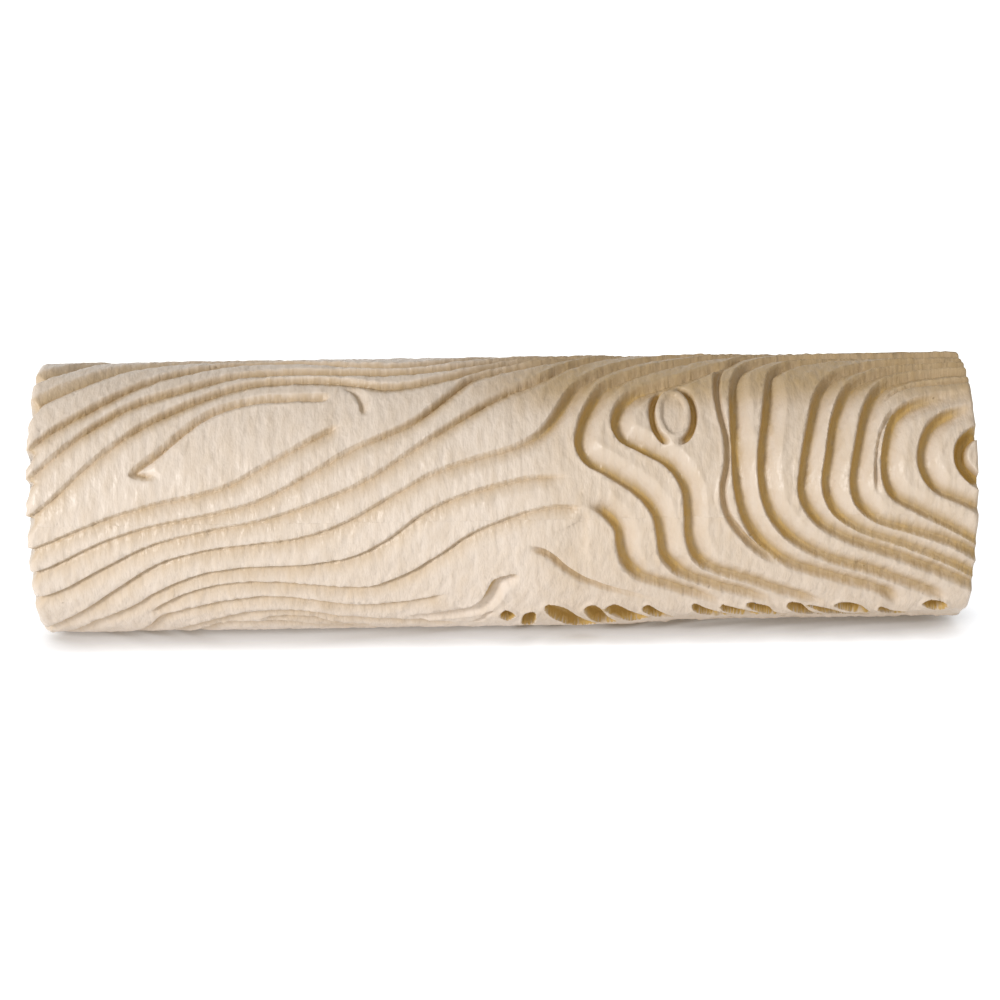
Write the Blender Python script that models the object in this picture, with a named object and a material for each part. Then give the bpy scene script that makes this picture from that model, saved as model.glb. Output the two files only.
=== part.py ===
"""Wood-grain pattern roller: a relief rubber sleeve on a core tube, turning on an axle tube.

The roller lies along X with its centre at the origin. Angles round the roller are zero at the
front (-Y) and grow towards the top (+Z). Lengths are metres unless a name says otherwise.
"""
import math

import bmesh
import bpy
import numpy as np
from mathutils import Matrix
from mathutils.geometry import delaunay_2d_cdt

# Driving dimensions
ROLLER_LENGTH = 0.178
CREST_RADIUS = 0.0264
SLEEVE_BORE_RADIUS = 0.0193
FIT_GAP = 0.0003
HALF_LENGTH = ROLLER_LENGTH / 2

# Core tube
CORE_RADIUS = SLEEVE_BORE_RADIUS - FIT_GAP
CORE_WALL = 0.002
CORE_INSET = 0.0028

# End caps
CAP_INSET = 0.0005
CAP_FLANGE = 0.002
CAP_SPIGOT_LENGTH = 0.015
CAP_SPIGOT_WALL = 0.0018
CAP_WEB = 0.0035
CAP_HUB_RADIUS = 0.0118
CAP_HUB_LENGTH = 0.0125
CAP_RECESS_RADIUS = 0.013
CAP_RECESS_DEPTH = 0.0055
CAP_GROOVE_RADII = (0.014, 0.0175)
CAP_GROOVE_DEPTH = 0.0015
CAP_RIB_COUNT = 6
CAP_RIB_WIDTH = 0.0018
CAP_RIB_SUNK = 0.0004

# Bearing bushes
BUSH_RADIUS = 0.009
BUSH_FLANGE_RADIUS = 0.011
BUSH_FLANGE = 0.0015
BUSH_LENGTH = 0.0135
RUNNING_GAP = 0.00015

# Axle tube, with a groove near each end for its retaining ring
AXLE_RADIUS = 0.006
AXLE_BORE_RADIUS = 0.0042
AXLE_INSET = 0.0003
AXLE_CHAMFER = 0.0003
GROOVE_RADIUS = 0.0053

# Thrust washers and retaining rings
WASHER_RADIUS = 0.0098
WASHER_THICKNESS = 0.0008
WASHER_BORE_GAP = 0.0002
RING_RADIUS = 0.0082
RING_THICKNESS = 0.0008
RING_MOUTH_DEGREES = 64
RING_LUG_RADIUS = 0.0012
RING_LUG_STEPS = 6

# Facets round the turned pieces, and the angle past which an edge stays sharp
SLEEVE_FACETS = 72
WIDE_FACETS = 48
NARROW_FACETS = 32
SHARP_DEGREES = 35

# Colours: base colour, roughness, metallic
RUBBER_CREAM = ((0.74, 0.60, 0.45, 1.0), 0.55, 0.0)
CORE_GREY = ((0.30, 0.30, 0.31, 1.0), 0.50, 0.0)
CAP_BLACK = ((0.025, 0.025, 0.027, 1.0), 0.45, 0.0)
BUSH_NYLON = ((0.78, 0.76, 0.70, 1.0), 0.40, 0.0)
STEEL = ((0.62, 0.62, 0.63, 1.0), 0.28, 1.0)
SPRING_STEEL = ((0.20, 0.20, 0.22, 1.0), 0.35, 1.0)

# Relief of the sleeve, in millimetres: each grain edge drops from its crest down a wall,
# crosses a floor and rises again along a ramp. The cut grows from the left to the right.
MM = 0.001
UNROLL_RADIUS_MM = 25.4
FINE_CUT = {"depth": 1.0, "wall": 0.6, "floor": 0.0, "ramp": 2.8}
BOLD_CUT = {"depth": 1.9, "wall": 1.0, "floor": 0.3, "ramp": 2.8}
FINE_UNTIL_MM = -38.0
BOLD_FROM_MM = 10.0
OTHER_CUTS = {
    "fine": FINE_CUT,
    "slim": {"depth": 0.9, "wall": 0.6, "floor": 0.0, "ramp": 0.9},
    "faint": {"depth": 0.8, "wall": 0.9, "floor": 0.0, "ramp": 2.0},
    "eye": {"depth": 1.2, "wall": 1.2, "floor": 0.0, "ramp": 1.6},
    "shoulder": {"depth": 1.4, "wall": 2.4, "floor": 0.0, "ramp": 2.4},
    "hump": {"depth": 1.7, "wall": 0.9, "floor": 0.0, "ramp": 2.8},
    "brush": {"depth": 1.3, "wall": 0.9, "floor": 0.0, "ramp": 0.9},
    "step_up": {"depth": 0.45, "wall": 1.0, "floor": 0.0, "ramp": 5.0},
    "groove": {"depth": 1.3, "wall": 0.9, "floor": 0.2, "ramp": 0.6},
    "moat": {"depth": 1.6, "wall": 0.5, "floor": 0.6, "ramp": 0.7},
    "dish": {"depth": 0.35, "wall": 0.4, "floor": 3.0, "ramp": 2.0},
    "notch": {"depth": 2.2, "wall": 1.1, "floor": 0.8, "ramp": 0.9},
    "gouge": {"depth": 2.0, "wall": 0.9, "floor": 1.1, "ramp": 1.1},
    "trench": {"depth": 2.1, "wall": 0.9, "floor": 2.6, "ramp": 1.1},
}
SHORT_RAMP_MM = 1.2
END_CHAMFER_MM = 0.9
EDGE_STEP_MM = 0.8
EDGE_TOLERANCE_MM = 0.2
EDGE_LONGEST_MM = 7.0
EDGE_END_MARGIN_MM = 1.8
FILL_SPACING_MM = 6.0
FILL_CLEARANCE_MM = 2.0
PLAN_WELD = 1.0e-6
FAR_MM = 1.0e9

# The surface falls away below the front on the right
UNDERCUT_MM = 1.0
UNDERCUT_FROM_MM = 18.0
UNDERCUT_UNTIL_MM = 42.0
UNDERCUT_FROM_DEGREES = -52.0
UNDERCUT_UNTIL_DEGREES = -64.0
UNDERCUT_BACK_FROM_DEGREES = -100.0
UNDERCUT_BACK_UNTIL_DEGREES = -135.0

# Grain edges as (cut, fade in mm at the start, fade in mm at the end, points). A point is
# millimetres along the roller and degrees round it. The low side lies to the right of the run.
GRAIN_EDGES = [
    # Long sweeps that cross the left half and run over the top to the back
    ("grain", 0, 0, [(-92, 25), (-86, 39), (-77, 54), (-68, 69.5), (-60, 80.5), (-51, 89.5), (-43, 92),
                     (-35, 90), (-28, 86), (-21, 84), (-14.5, 86.3), (-8, 93), (0, 103), (12, 114),
                     (28, 125), (48, 133), (68, 138), (92, 142)]),
    ("grain", 0, 0, [(-92, 13), (-85, 27.5), (-76, 45), (-68, 57), (-60, 65), (-51, 74.6), (-42, 78),
                     (-30, 77.3), (-20, 76.4), (-12, 79.8), (-4, 86.5), (5, 98), (18, 110), (36, 120),
                     (58, 127), (92, 133)]),
    ("grain", 0, 0, [(-92, -1), (-85, 10), (-77, 26.5), (-68, 43), (-60, 54), (-51, 64.5), (-45, 68.8),
                     (-37, 70), (-30, 68.5), (-22, 64.7), (-16.5, 66), (-9, 73), (0, 84), (9, 95),
                     (22, 105), (42, 114), (64, 120), (92, 125)]),
    ("grain", 0, 4, [(-92, -13), (-85, -6.8), (-75, 2.3), (-65, 9), (-55, 13.8), (-50, 17.7), (-44, 25.3),
                     (-37, 34.3), (-30, 43.5)]),
    ("grain", 0, 0, [(-92, -24), (-85, -18), (-75, -7), (-65, 0), (-55, 4.3), (-45, 10.3), (-37, 19.7),
                     (-28, 31.5), (-20, 39.7), (-15, 47), (-10.5, 57.5), (-6, 69), (-1, 76), (8, 86),
                     (15, 95.5), (28, 105), (46, 110.5), (68, 114.5), (92, 117)]),
    ("grain", 0, 0, [(-92, -37.5), (-84, -31), (-75, -19), (-66, -8.8), (-55, -2.5), (-45, 1.7), (-35, 8.8),
                     (-25, 18.5), (-16, 32), (-8, 45), (0, 58), (7, 69), (12, 80), (18, 90), (27, 99),
                     (42, 105), (62, 108.5), (92, 110.5)]),
    ("grain", 0, 0, [(-92, -68), (-86.8, -58), (-80, -44), (-72, -28.5), (-65, -17.7), (-57, -12),
                     (-47, -8.9), (-38, -6.3), (-30, -0.3), (-20, 12), (-13, 20.5), (-5, 26.7), (2, 31.3),
                     (7, 38.5), (10, 48.5), (13, 61), (17.5, 72), (24, 83), (33, 93), (45, 99.5),
                     (65, 103), (92, 104.5)]),
    ("fine", 0, 6, [(-92, -84), (-84, -68), (-78, -53), (-70, -40.5), (-65, -31.5), (-57, -23), (-49, -20),
                    (-38, -19), (-29, -15.8), (-22, -8), (-15, 3.5), (-9, 9.8), (0, 15.8), (7, 18.5),
                    (14, 18.3)]),
    ("fine", 4, 3, [(-68, -48), (-64, -39), (-58, -31.5), (-50, -27.4), (-40, -28.1), (-32, -30.4),
                    (-26, -30.9), (-19, -25), (-12, -14.7), (-6, -5.4), (0, 0.2), (7, 5), (12, 6),
                    (15.5, 5)]),
    ("grain", 0, 5, [(-92, -102), (-80, -88), (-72, -73), (-67.6, -58.5), (-65.5, -50), (-59, -42.7),
                     (-50, -37), (-43, -35.8), (-36, -38.5), (-29, -42), (-22, -41.6), (-15, -38.3),
                     (-10, -34.5)]),
    ("grain", 0, 4, [(-92, -117), (-78, -98), (-67, -78), (-60, -60), (-54, -51.5), (-48, -46.6),
                     (-41, -45.7), (-36, -47.5), (-32, -51), (-25, -54), (-16, -57.5), (-8, -62)]),
    ("grain", 3, 4, [(-47, -52.6), (-42, -51.3), (-37.5, -52), (-34, -56), (-30, -60.5), (-24, -64)]),
    ("grain", 0, 4, [(-92, -132), (-76, -112), (-64, -88), (-58, -66), (-53, -57.2), (-46, -56.3),
                     (-39.5, -58.2), (-34, -62.7), (-27, -68), (-18, -72), (-8, -78)]),
    # The long eye on the left and its curl
    ("eye", 3, 2, [(-64, 17.8), (-67.3, 18.4), (-69.8, 20.6), (-68.8, 24.4), (-65, 31), (-59.5, 42.5),
                   (-55, 50.5), (-50, 55.5), (-45, 58), (-39, 58.8), (-31.8, 58.8)]),
    ("faint", 2, 2, [(-26.6, 45), (-26.8, 51), (-28, 57.5), (-30.5, 62)]),
    # Edges over the upper left corner
    ("shoulder", 0, 8, [(-92, 54), (-88.3, 60), (-83.3, 68), (-78.9, 75.6), (-74.8, 84), (-69, 92),
                        (-61, 98), (-51, 101), (-40, 101)]),
    ("shoulder", 0, 8, [(-92, 76), (-88, 80.5), (-85, 86), (-82, 94.5), (-77.5, 102), (-71, 106.5),
                        (-63, 108.5)]),
    # Humps below the middle
    ("hump", 5, 3, [(-19, -52), (-12, -48.3), (-7, -45.4), (-4.6, -41), (-3.2, -34), (-2, -28), (0.3, -25.2),
                    (3.5, -25)]),
    ("slim", 2, 1.5, [(-7, -62), (-4.8, -56.5), (-3.8, -51.5), (-2, -48)]),
    ("brush", 22, 4, [(33, -47.5), (27, -41.7), (20, -35.6), (14.5, -29.7), (11, -23.5), (8, -17), (4, -13)]),
    ("grain", 8, 5, [(43, -47.5), (37, -41), (30, -33.5), (25, -28.5), (22.2, -21.5), (21, -12), (20.6, -5),
                     (19, -0.3), (16.7, 4), (14.5, 6.3)]),
    ("step_up", 2, 4, [(14, 5), (16.2, 1.5), (16, -7), (15.8, -14), (17.2, -20)]),
    # Rings that bend round the knot
    ("grain", 8, 0, [(53, -47.5), (46, -40.3), (38, -33), (32, -25.5), (29.2, -17), (28.5, -7), (27.5, 1.7),
                     (24.5, 9.7), (19, 18), (15.2, 23.2), (13.5, 31), (14.2, 41.5), (16.2, 52.5),
                     (19.3, 63.5), (25, 72.5), (32, 81), (38, 87.5), (46, 94), (60, 98), (92, 99.3)]),
    ("grain", 8, 7, [(63, -49), (55, -41.5), (46, -32), (39.5, -26), (35.8, -20), (34, -10), (33.7, 1),
                     (33.2, 11.5), (30.6, 20.8), (25.5, 27.6), (21.8, 32.6), (20.4, 40), (21.3, 49.5),
                     (24.5, 58.3), (30.5, 64.5), (35.5, 70), (40, 76), (46, 83)]),
    # Moats at the two sides of the knot
    ("moat", 2, 2, [(30.7, 55.7), (29.5, 51.2), (29.1, 45.2), (29.5, 39.2), (30.7, 34.7)]),
    ("moat", 2, 2, [(33.9, 34.7), (35.1, 39.2), (35.5, 45.2), (35.1, 51.2), (33.9, 55.7)]),
    # Rings that bend round the half knot at the right end
    ("groove", 5, 0, [(52.5, -24), (47.5, -16.3), (43.5, -7), (41, 2), (40.4, 11), (41.3, 23), (41.4, 32),
                      (40.4, 45), (40.1, 58), (41, 71), (43.6, 80), (48, 87.5), (58, 93), (72, 95),
                      (92, 95.8)]),
    ("grain", 5, 0, [(75.5, -50), (71, -39.3), (63, -31.8), (54, -23.7), (48.5, -14.8), (44.7, -2.5),
                     (43, 12), (42.7, 30), (42.8, 48), (43.6, 64), (46, 76), (52, 85), (62, 89.7),
                     (76, 91.5), (92, 92)]),
    ("grain", 5, 0, [(85, -47), (79, -38.7), (70, -28.5), (60, -20), (53, -10), (49.5, -0.5), (47.8, 11),
                     (47.6, 25), (48.6, 41), (49.8, 58), (51, 70), (55, 79), (62, 84.5), (73, 87.5),
                     (92, 88.5)]),
    ("grain", 0, 0, [(92, -43), (84, -31.5), (74, -20.5), (64, -11.5), (58, -3), (55.1, 8), (55.5, 22),
                     (57, 38), (59, 54.5), (62.5, 67), (69, 76), (78, 81), (92, 84)]),
    ("grain", 0, 0, [(92, -40), (85.5, -27), (76, -16), (67, -8.3), (61.3, 1), (59.5, 12), (60.4, 27),
                     (62, 44), (65, 58.5), (70.5, 69), (79, 75.5), (92, 78)]),
    ("grain", 0, 0, [(92, -28), (85, -15.8), (77, -9), (69.5, -3.4), (65.7, 4.3), (64.7, 13), (66, 31),
                     (68, 47.5), (71.5, 60.5), (78, 68), (92, 71.5)]),
    ("slim", 4, 3, [(69.6, 7), (69.3, 18), (70.3, 33.5), (72.4, 43), (74.5, 48)]),
    ("slim", 3, 0, [(70.6, 47), (73, 55), (78, 60.2), (84, 61.6), (92, 64.5)]),
    ("grain", 0, 18, [(92, -21), (85, -9.2), (77, 0.8), (72, 7.8), (70.6, 17), (71.2, 31), (73.2, 43.5),
                      (76, 49), (79, 52), (85, 55), (92, 57)]),
    ("grain", 0, 10, [(92, -4), (86, 3.3), (80, 10), (77.6, 19), (77.9, 30), (80.3, 40), (83.5, 45),
                      (88, 48), (92, 49.5)]),
    ("notch", 0, 0, [(92, 6.5), (87, 12.7), (84.6, 20), (84.6, 28), (86.8, 35), (92, 40)]),
    # Gouges that run from below the pockets to the back
    ("gouge", 0, 5, [(92, -133), (66, -129), (38, -120), (16, -106), (4, -90), (1.5, -78)]),
    ("gouge", 0, 5, [(92, -128), (60, -121), (32, -111), (14, -97), (7, -82)]),
    ("trench", 0, 5, [(92, -123), (48, -110), (28, -98), (18.5, -80)]),
    ("gouge", 0, 5, [(92, -115), (58, -105), (38, -95), (26, -80)]),
    ("gouge", 0, 5, [(92, -106), (75, -101), (56, -94), (40, -84), (33, -76)]),
    ("gouge", 0, 5, [(92, -98), (66, -90), (50, -82), (42, -73)]),
    ("gouge", 0, 5, [(92, -91), (76, -86), (62, -79), (52, -70)]),
    ("gouge", 0, 5, [(92, -82), (78, -76), (66, -69)]),
    # Back: lines that part round a long eye and a second knot
    ("grain", 0, 0, [(-92, 140), (-84, 128), (-70, 118), (-50, 111), (-30, 110), (-14, 114), (0, 123),
                     (14, 135), (30, 144), (50, 147.5), (70, 149), (92, 151)]),
    ("grain", 0, 0, [(-92, 185), (-82, 195), (-66, 205), (-45, 209.5), (-25, 208), (-8, 204), (8, 208),
                     (26, 219), (46, 222), (68, 216), (92, 210)]),
    ("grain", 0, 0, [(-92, 209), (-75, 220), (-50, 226.5), (-25, 226), (-2, 222), (18, 228), (40, 233),
                     (66, 226), (92, 219)]),
    ("grain", 4, 4, [(-62, 259), (-48, 248), (-32, 243), (-16, 245), (-5, 253)]),
    ("grain", 4, 4, [(-50, 272), (-40, 262), (-26, 258), (-13, 262), (-7, 270)]),
    ("grain", 0, 0, [(92, 202), (68, 208), (48, 211.5), (34, 206), (26, 195), (24, 182), (28, 169),
                     (38, 160), (55, 157), (92, 160)]),
    ("grain", 0, 0, [(92, 192), (70, 197), (54, 201), (41, 197), (34, 186), (36, 174), (44, 167), (60, 165),
                     (92, 169)]),
]
# Almond pockets in a row below the front: outlines in mm and degrees, run clockwise from their tips
POCKETS = [
    [(2.2, -53), (0.7, -57.8), (-0.4, -55), (-0.5, -50.7), (0.4, -47.6), (1.6, -49.8)],
    [(6.2, -52.5), (5.3, -66), (3.9, -66), (3.6, -56.7), (4.3, -50.6), (5.6, -49.4)],
    [(18, -65.5), (14.5, -70), (11.1, -61.4), (8.1, -48.9), (8.2, -43.8), (11.4, -46), (14.5, -55.3)],
    [(21.8, -62), (18.9, -63.8), (16.9, -58.2), (15.5, -47.1), (16.9, -44.3), (18.3, -47), (20.1, -55.8)],
    [(28, -56.6), (25.2, -61.8), (22, -56.5), (19.5, -47.5), (21.1, -44.1), (23.8, -49.1)],
    [(32.5, -57.1), (29.3, -56), (26.5, -48.5), (27.3, -44.8), (30, -51)],
    [(43.6, -55), (40.2, -55.8), (36.4, -50.3), (36.2, -44.3), (39, -48.8)],
    [(49.7, -54.4), (46.5, -55.2), (42, -50.6), (41.6, -45.9), (45, -49.2)],
    [(54.6, -56), (51, -54.8), (46.8, -48), (46.4, -44.6), (50.4, -47.3), (51.8, -52.5)],
    [(64.6, -62.5), (59.6, -58.3), (54.3, -49), (54.4, -44.5), (56.4, -45.2), (58.8, -52.8)],
    [(70.8, -56.4), (67, -60.4), (61.6, -54), (58, -46.8), (62.4, -50.6), (66, -55.4)],
    [(70.3, -54.5), (66.5, -53.2), (63.2, -47.5), (64.4, -45), (67.6, -46.8)],
    [(77.3, -55.1), (75.6, -60), (72, -53.5), (72, -49.3), (74.5, -53.1)],
    [(84.9, -50.3), (83.2, -53), (80, -47.5), (81.4, -44.2), (84, -46.5)],
]
POCKET_DEPTH_MM = 2.2
POCKET_WALL_MM = 0.5
# Closed rings, low inside: centre in mm and degrees, half width in mm, half height in degrees. The first is
# the middle of the knot on the front, the others are on the back.
CLOSED_RINGS = [
    ("dish", (32.3, 45.2), (2.2, 9.8)),
    ("grain", (-38, 160), (42, 37)),
    ("grain", (-37, 160), (29, 26)),
    ("grain", (-35, 161), (17, 15)),
    ("faint", (-34, 162), (7, 6)),
    ("grain", (52, 182), (8, 12)),
    ("moat", (52, 182), (4, 5.5)),
]
RING_TILT_DEGREES_PER_MM = 0.12
RING_STEPS = 24


def clear_scene():
    """Empties the scene."""
    for old in list(bpy.data.objects):
        bpy.data.objects.remove(old, do_unlink=True)


def make_material(name, look):
    """A plain Principled material from a colour, a roughness and a metallic value."""
    colour, roughness, metallic = look
    material = bpy.data.materials.new(name)
    material.use_nodes = True
    shader = material.node_tree.nodes["Principled BSDF"]
    shader.inputs["Base Color"].default_value = colour
    shader.inputs["Roughness"].default_value = roughness
    shader.inputs["Metallic"].default_value = metallic
    return material


def add_object(name, mesh_builder, look, parent):
    """Turns a bmesh into a named object with its own material, smooth apart from its edges."""
    mesh = bpy.data.meshes.new(name)
    bmesh.ops.recalc_face_normals(mesh_builder, faces=mesh_builder.faces)
    mesh_builder.to_mesh(mesh)
    mesh_builder.free()
    mesh.shade_smooth()
    mesh.set_sharp_from_angle(angle=math.radians(SHARP_DEGREES))
    mesh.materials.append(make_material(name + "_material", look))
    part = bpy.data.objects.new(name, mesh)
    bpy.context.scene.collection.objects.link(part)
    part.parent = parent
    return part


def add_empty(name):
    """An empty on the roller's axis that carries the pieces of one body."""
    empty = bpy.data.objects.new(name, None)
    bpy.context.scene.collection.objects.link(empty)
    return empty


def turned(profile, facets):
    """Revolves a closed profile of (x, radius) points about X."""
    builder = bmesh.new()
    rings = []
    for step in range(facets):
        angle = 2 * math.pi * step / facets
        ring = []
        for x, radius in profile:
            ring.append(builder.verts.new((x, -radius * math.cos(angle), radius * math.sin(angle))))
        rings.append(ring)
    for step in range(facets):
        here = rings[step]
        there = rings[(step + 1) % facets]
        for point in range(len(profile)):
            after = (point + 1) % len(profile)
            builder.faces.new((here[point], here[after], there[after], there[point]))
    return builder


def mirrored(profile, side):
    """The profile of the same piece at the left (-1) or right (+1) end."""
    return [(side * x, radius) for x, radius in profile]


# Grain relief

def smooth_edge(points):
    """Centripetal curve through hand-set points, as an array of mm along and degrees round."""
    degree_mm = math.radians(UNROLL_RADIUS_MM)
    knots = np.array(points, dtype=float)
    knots = np.vstack([2 * knots[0] - knots[1], knots, 2 * knots[-1] - knots[-2]])
    scaled = knots * np.array([1.0, degree_mm])
    pieces = []
    for index in range(1, len(knots) - 2):
        p0, p1, p2, p3 = scaled[index - 1:index + 3]
        t1 = math.sqrt(np.linalg.norm(p1 - p0))
        t2 = t1 + math.sqrt(np.linalg.norm(p2 - p1))
        t3 = t2 + math.sqrt(np.linalg.norm(p3 - p2))
        count = max(2, int(np.linalg.norm(p2 - p1) / EDGE_STEP_MM) + 1)
        t = np.linspace(t1, t2, count, endpoint=False)[:, None]
        a1 = (t1 - t) / t1 * p0 + t / t1 * p1
        a2 = (t2 - t) / (t2 - t1) * p1 + (t - t1) / (t2 - t1) * p2
        a3 = (t3 - t) / (t3 - t2) * p2 + (t - t2) / (t3 - t2) * p3
        b1 = (t2 - t) / t2 * a1 + t / t2 * a2
        b2 = (t3 - t) / (t3 - t1) * a2 + (t - t1) / (t3 - t1) * a3
        pieces.append((t2 - t) / (t2 - t1) * b1 + (t - t1) / (t2 - t1) * b2)
    pieces.append(scaled[-2:-1])
    return np.vstack(pieces)


def ring_points(centre, half_size):
    """A slanting oval, run clockwise so that its low side is inside."""
    points = []
    for step in range(RING_STEPS + 1):
        turn = -2 * math.pi * step / RING_STEPS
        along = half_size[0] * math.cos(turn)
        round_it = half_size[1] * math.sin(turn) + RING_TILT_DEGREES_PER_MM * along
        points.append((centre[0] + along, centre[1] + round_it))
    return points


def all_edges():
    """Every grain edge as (cut, fade in, fade out, curve); a curve is in mm on the unrolled sleeve."""
    edges = []
    for cut, fade_in, fade_out, points in GRAIN_EDGES:
        edges.append((cut, fade_in, fade_out, smooth_edge(points)))
    for cut, centre, half_size in CLOSED_RINGS:
        edges.append((cut, 0, 0, smooth_edge(ring_points(centre, half_size))))
    return edges


def ease(value):
    """Smooth step from 0 to 1."""
    value = np.clip(value, 0.0, 1.0)
    return value * value * (3 - 2 * value)


def cut_size(cut, name, along):
    """One size of a cut at a place along the roller; plain grain grows from fine to bold."""
    if cut != "grain":
        return np.full_like(along, OTHER_CUTS[cut][name])
    boldness = ease((along - FINE_UNTIL_MM) / (BOLD_FROM_MM - FINE_UNTIL_MM))
    return FINE_CUT[name] + (BOLD_CUT[name] - FINE_CUT[name]) * boldness


def distance_to_edge(along, round_it, curve):
    """Signed distance (low side positive) and run along the curve, for unrolled points."""
    circumference = 2 * math.pi * UNROLL_RADIUS_MM
    nearest = np.full(along.shape, FAR_MM)
    signed = np.zeros(along.shape)
    run = np.zeros(along.shape)
    travelled = 0.0
    for start, end in zip(curve[:-1], curve[1:]):
        step = end - start
        length = math.hypot(step[0], step[1])
        if length == 0:
            continue
        dx = along - start[0]
        dy = round_it - start[1]
        dy = dy - circumference * np.round(dy / circumference)
        part = np.clip((dx * step[0] + dy * step[1]) / length ** 2, 0.0, 1.0)
        gap = np.hypot(dx - part * step[0], dy - part * step[1])
        closer = gap < nearest
        side = np.where(step[1] * dx - step[0] * dy >= 0, 1.0, -1.0)
        nearest = np.where(closer, gap, nearest)
        signed = np.where(closer, gap * side, signed)
        run = np.where(closer, travelled + part * length, run)
        travelled += length
    return signed, run, travelled


def pocket_gap(along, round_it, curve):
    """Distance from a closed outline, positive inside it, for unrolled points."""
    gap = np.abs(distance_to_edge(along, round_it, curve)[0])
    inside = np.zeros(along.shape, bool)
    for (x0, y0), (x1, y1) in zip(curve[:-1], curve[1:]):
        if y0 != y1:
            level = (round_it >= min(y0, y1)) & (round_it < max(y0, y1))
            inside ^= level & (along < x0 + (x1 - x0) * (round_it - y0) / (y1 - y0))
    return np.where(inside, gap, -gap)


def undercut(along, degrees):
    """How far the surface falls away below the front on the right, in mm."""
    below = ease((degrees - UNDERCUT_FROM_DEGREES) / (UNDERCUT_UNTIL_DEGREES - UNDERCUT_FROM_DEGREES))
    behind = ease((degrees - UNDERCUT_BACK_FROM_DEGREES)
                  / (UNDERCUT_BACK_UNTIL_DEGREES - UNDERCUT_BACK_FROM_DEGREES))
    right = ease((along - UNDERCUT_FROM_MM) / (UNDERCUT_UNTIL_MM - UNDERCUT_FROM_MM))
    return UNDERCUT_MM * below * (1 - behind) * right


def relief_depth(along, round_it, edges, pockets):
    """Depth of the grain below the crest surface, in mm, at unrolled points."""
    depth = np.zeros(along.shape)
    for cut, fade_in, fade_out, curve in edges:
        signed, run, length = distance_to_edge(along, round_it, curve)
        wall = cut_size(cut, "wall", along)
        floor = cut_size(cut, "floor", along)
        ramp = cut_size(cut, "ramp", along)
        falling = np.clip(signed / wall, 0.0, 1.0)
        rising = np.clip(1.0 - (signed - wall - floor) / ramp, 0.0, 1.0)
        shape = np.minimum(falling, rising ** 2)
        if fade_in:
            shape = shape * np.clip(run / fade_in, 0.0, 1.0)
        if fade_out:
            shape = shape * np.clip((length - run) / fade_out, 0.0, 1.0)
        depth = np.maximum(depth, shape * cut_size(cut, "depth", along))
    for curve in pockets:
        fallen = np.clip(pocket_gap(along, round_it, curve) / POCKET_WALL_MM, 0.0, 1.0)
        depth = np.maximum(depth, POCKET_DEPTH_MM * fallen)
    return depth + undercut(along, np.degrees(round_it / UNROLL_RADIUS_MM))


def simplified(curve):
    """Keeps the points that a curve needs, within a tolerance and a longest step."""
    keep = [0]
    start = 0
    while start < len(curve) - 1:
        end = start + 1
        while end + 1 < len(curve) and chord_is_close(curve, start, end + 1):
            end += 1
        keep.append(end)
        start = end
    return curve[keep]


def chord_is_close(curve, start, end):
    """True where a straight step stands for the stretch of curve between two points."""
    chord = curve[end] - curve[start]
    length = math.hypot(chord[0], chord[1])
    if length > EDGE_LONGEST_MM or length == 0:
        return False
    between = curve[start + 1:end] - curve[start]
    away = np.abs(chord[0] * between[:, 1] - chord[1] * between[:, 0]) / length
    return bool(np.all(away < EDGE_TOLERANCE_MM))


def offset_line(curve, offset):
    """The line at some distance to the low side of a curve."""
    direction = np.gradient(curve, axis=0)
    direction = direction / np.maximum(np.linalg.norm(direction, axis=1), 1.0e-9)[:, None]
    to_low_side = np.stack([direction[:, 1], -direction[:, 0]], axis=1)
    return curve + to_low_side * np.reshape(offset, (-1, 1))


def cut_lines(cut, curve):
    """The crest and foot of a cut, and both edges of its far side where that is short."""
    wall = cut_size(cut, "wall", curve[:, 0])
    far = wall + cut_size(cut, "floor", curve[:, 0])
    ramp = cut_size(cut, "ramp", curve[:, 0])
    offsets = [wall]
    if ramp.max() <= SHORT_RAMP_MM:
        offsets += [far, far + ramp]
    return [curve] + [offset_line(curve, offset) for offset in offsets]


def inside_runs(curve):
    """The stretches of a curve that lie on the sleeve, clear of its two ends."""
    limit = HALF_LENGTH / MM - EDGE_END_MARGIN_MM
    runs = []
    current = []
    for point in curve:
        if abs(point[0]) <= limit:
            current.append(point)
        elif current:
            runs.append(np.array(current))
            current = []
    if current:
        runs.append(np.array(current))
    return [run for run in runs if len(run) > 2]


def sleeve_plan(edges, pockets):
    """Points and lines of the unrolled sleeve: end rings, crest and foot lines, fill points."""
    half = HALF_LENGTH / MM
    circumference = 2 * math.pi * UNROLL_RADIUS_MM
    points = []
    lines = []
    for ring_x in (-half, half, END_CHAMFER_MM - half, half - END_CHAMFER_MM):
        first = len(points)
        for step in range(SLEEVE_FACETS):
            points.append((ring_x, circumference * step / SLEEVE_FACETS))
            lines.append((first + step, first + (step + 1) % SLEEVE_FACETS))
    curves = []
    for cut, _, _, curve in edges:
        curves.extend(cut_lines(cut, curve))
    for curve in pockets:
        curves.extend([curve, offset_line(curve, POCKET_WALL_MM)])
    for curve in curves:
        for run in inside_runs(curve):
            kept = simplified(run)
            first = len(points)
            points.extend(map(tuple, kept))
            lines.extend((first + step, first + step + 1) for step in range(len(kept) - 1))
    points.extend(fill_points(curves))
    return np.array(points), lines


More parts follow.
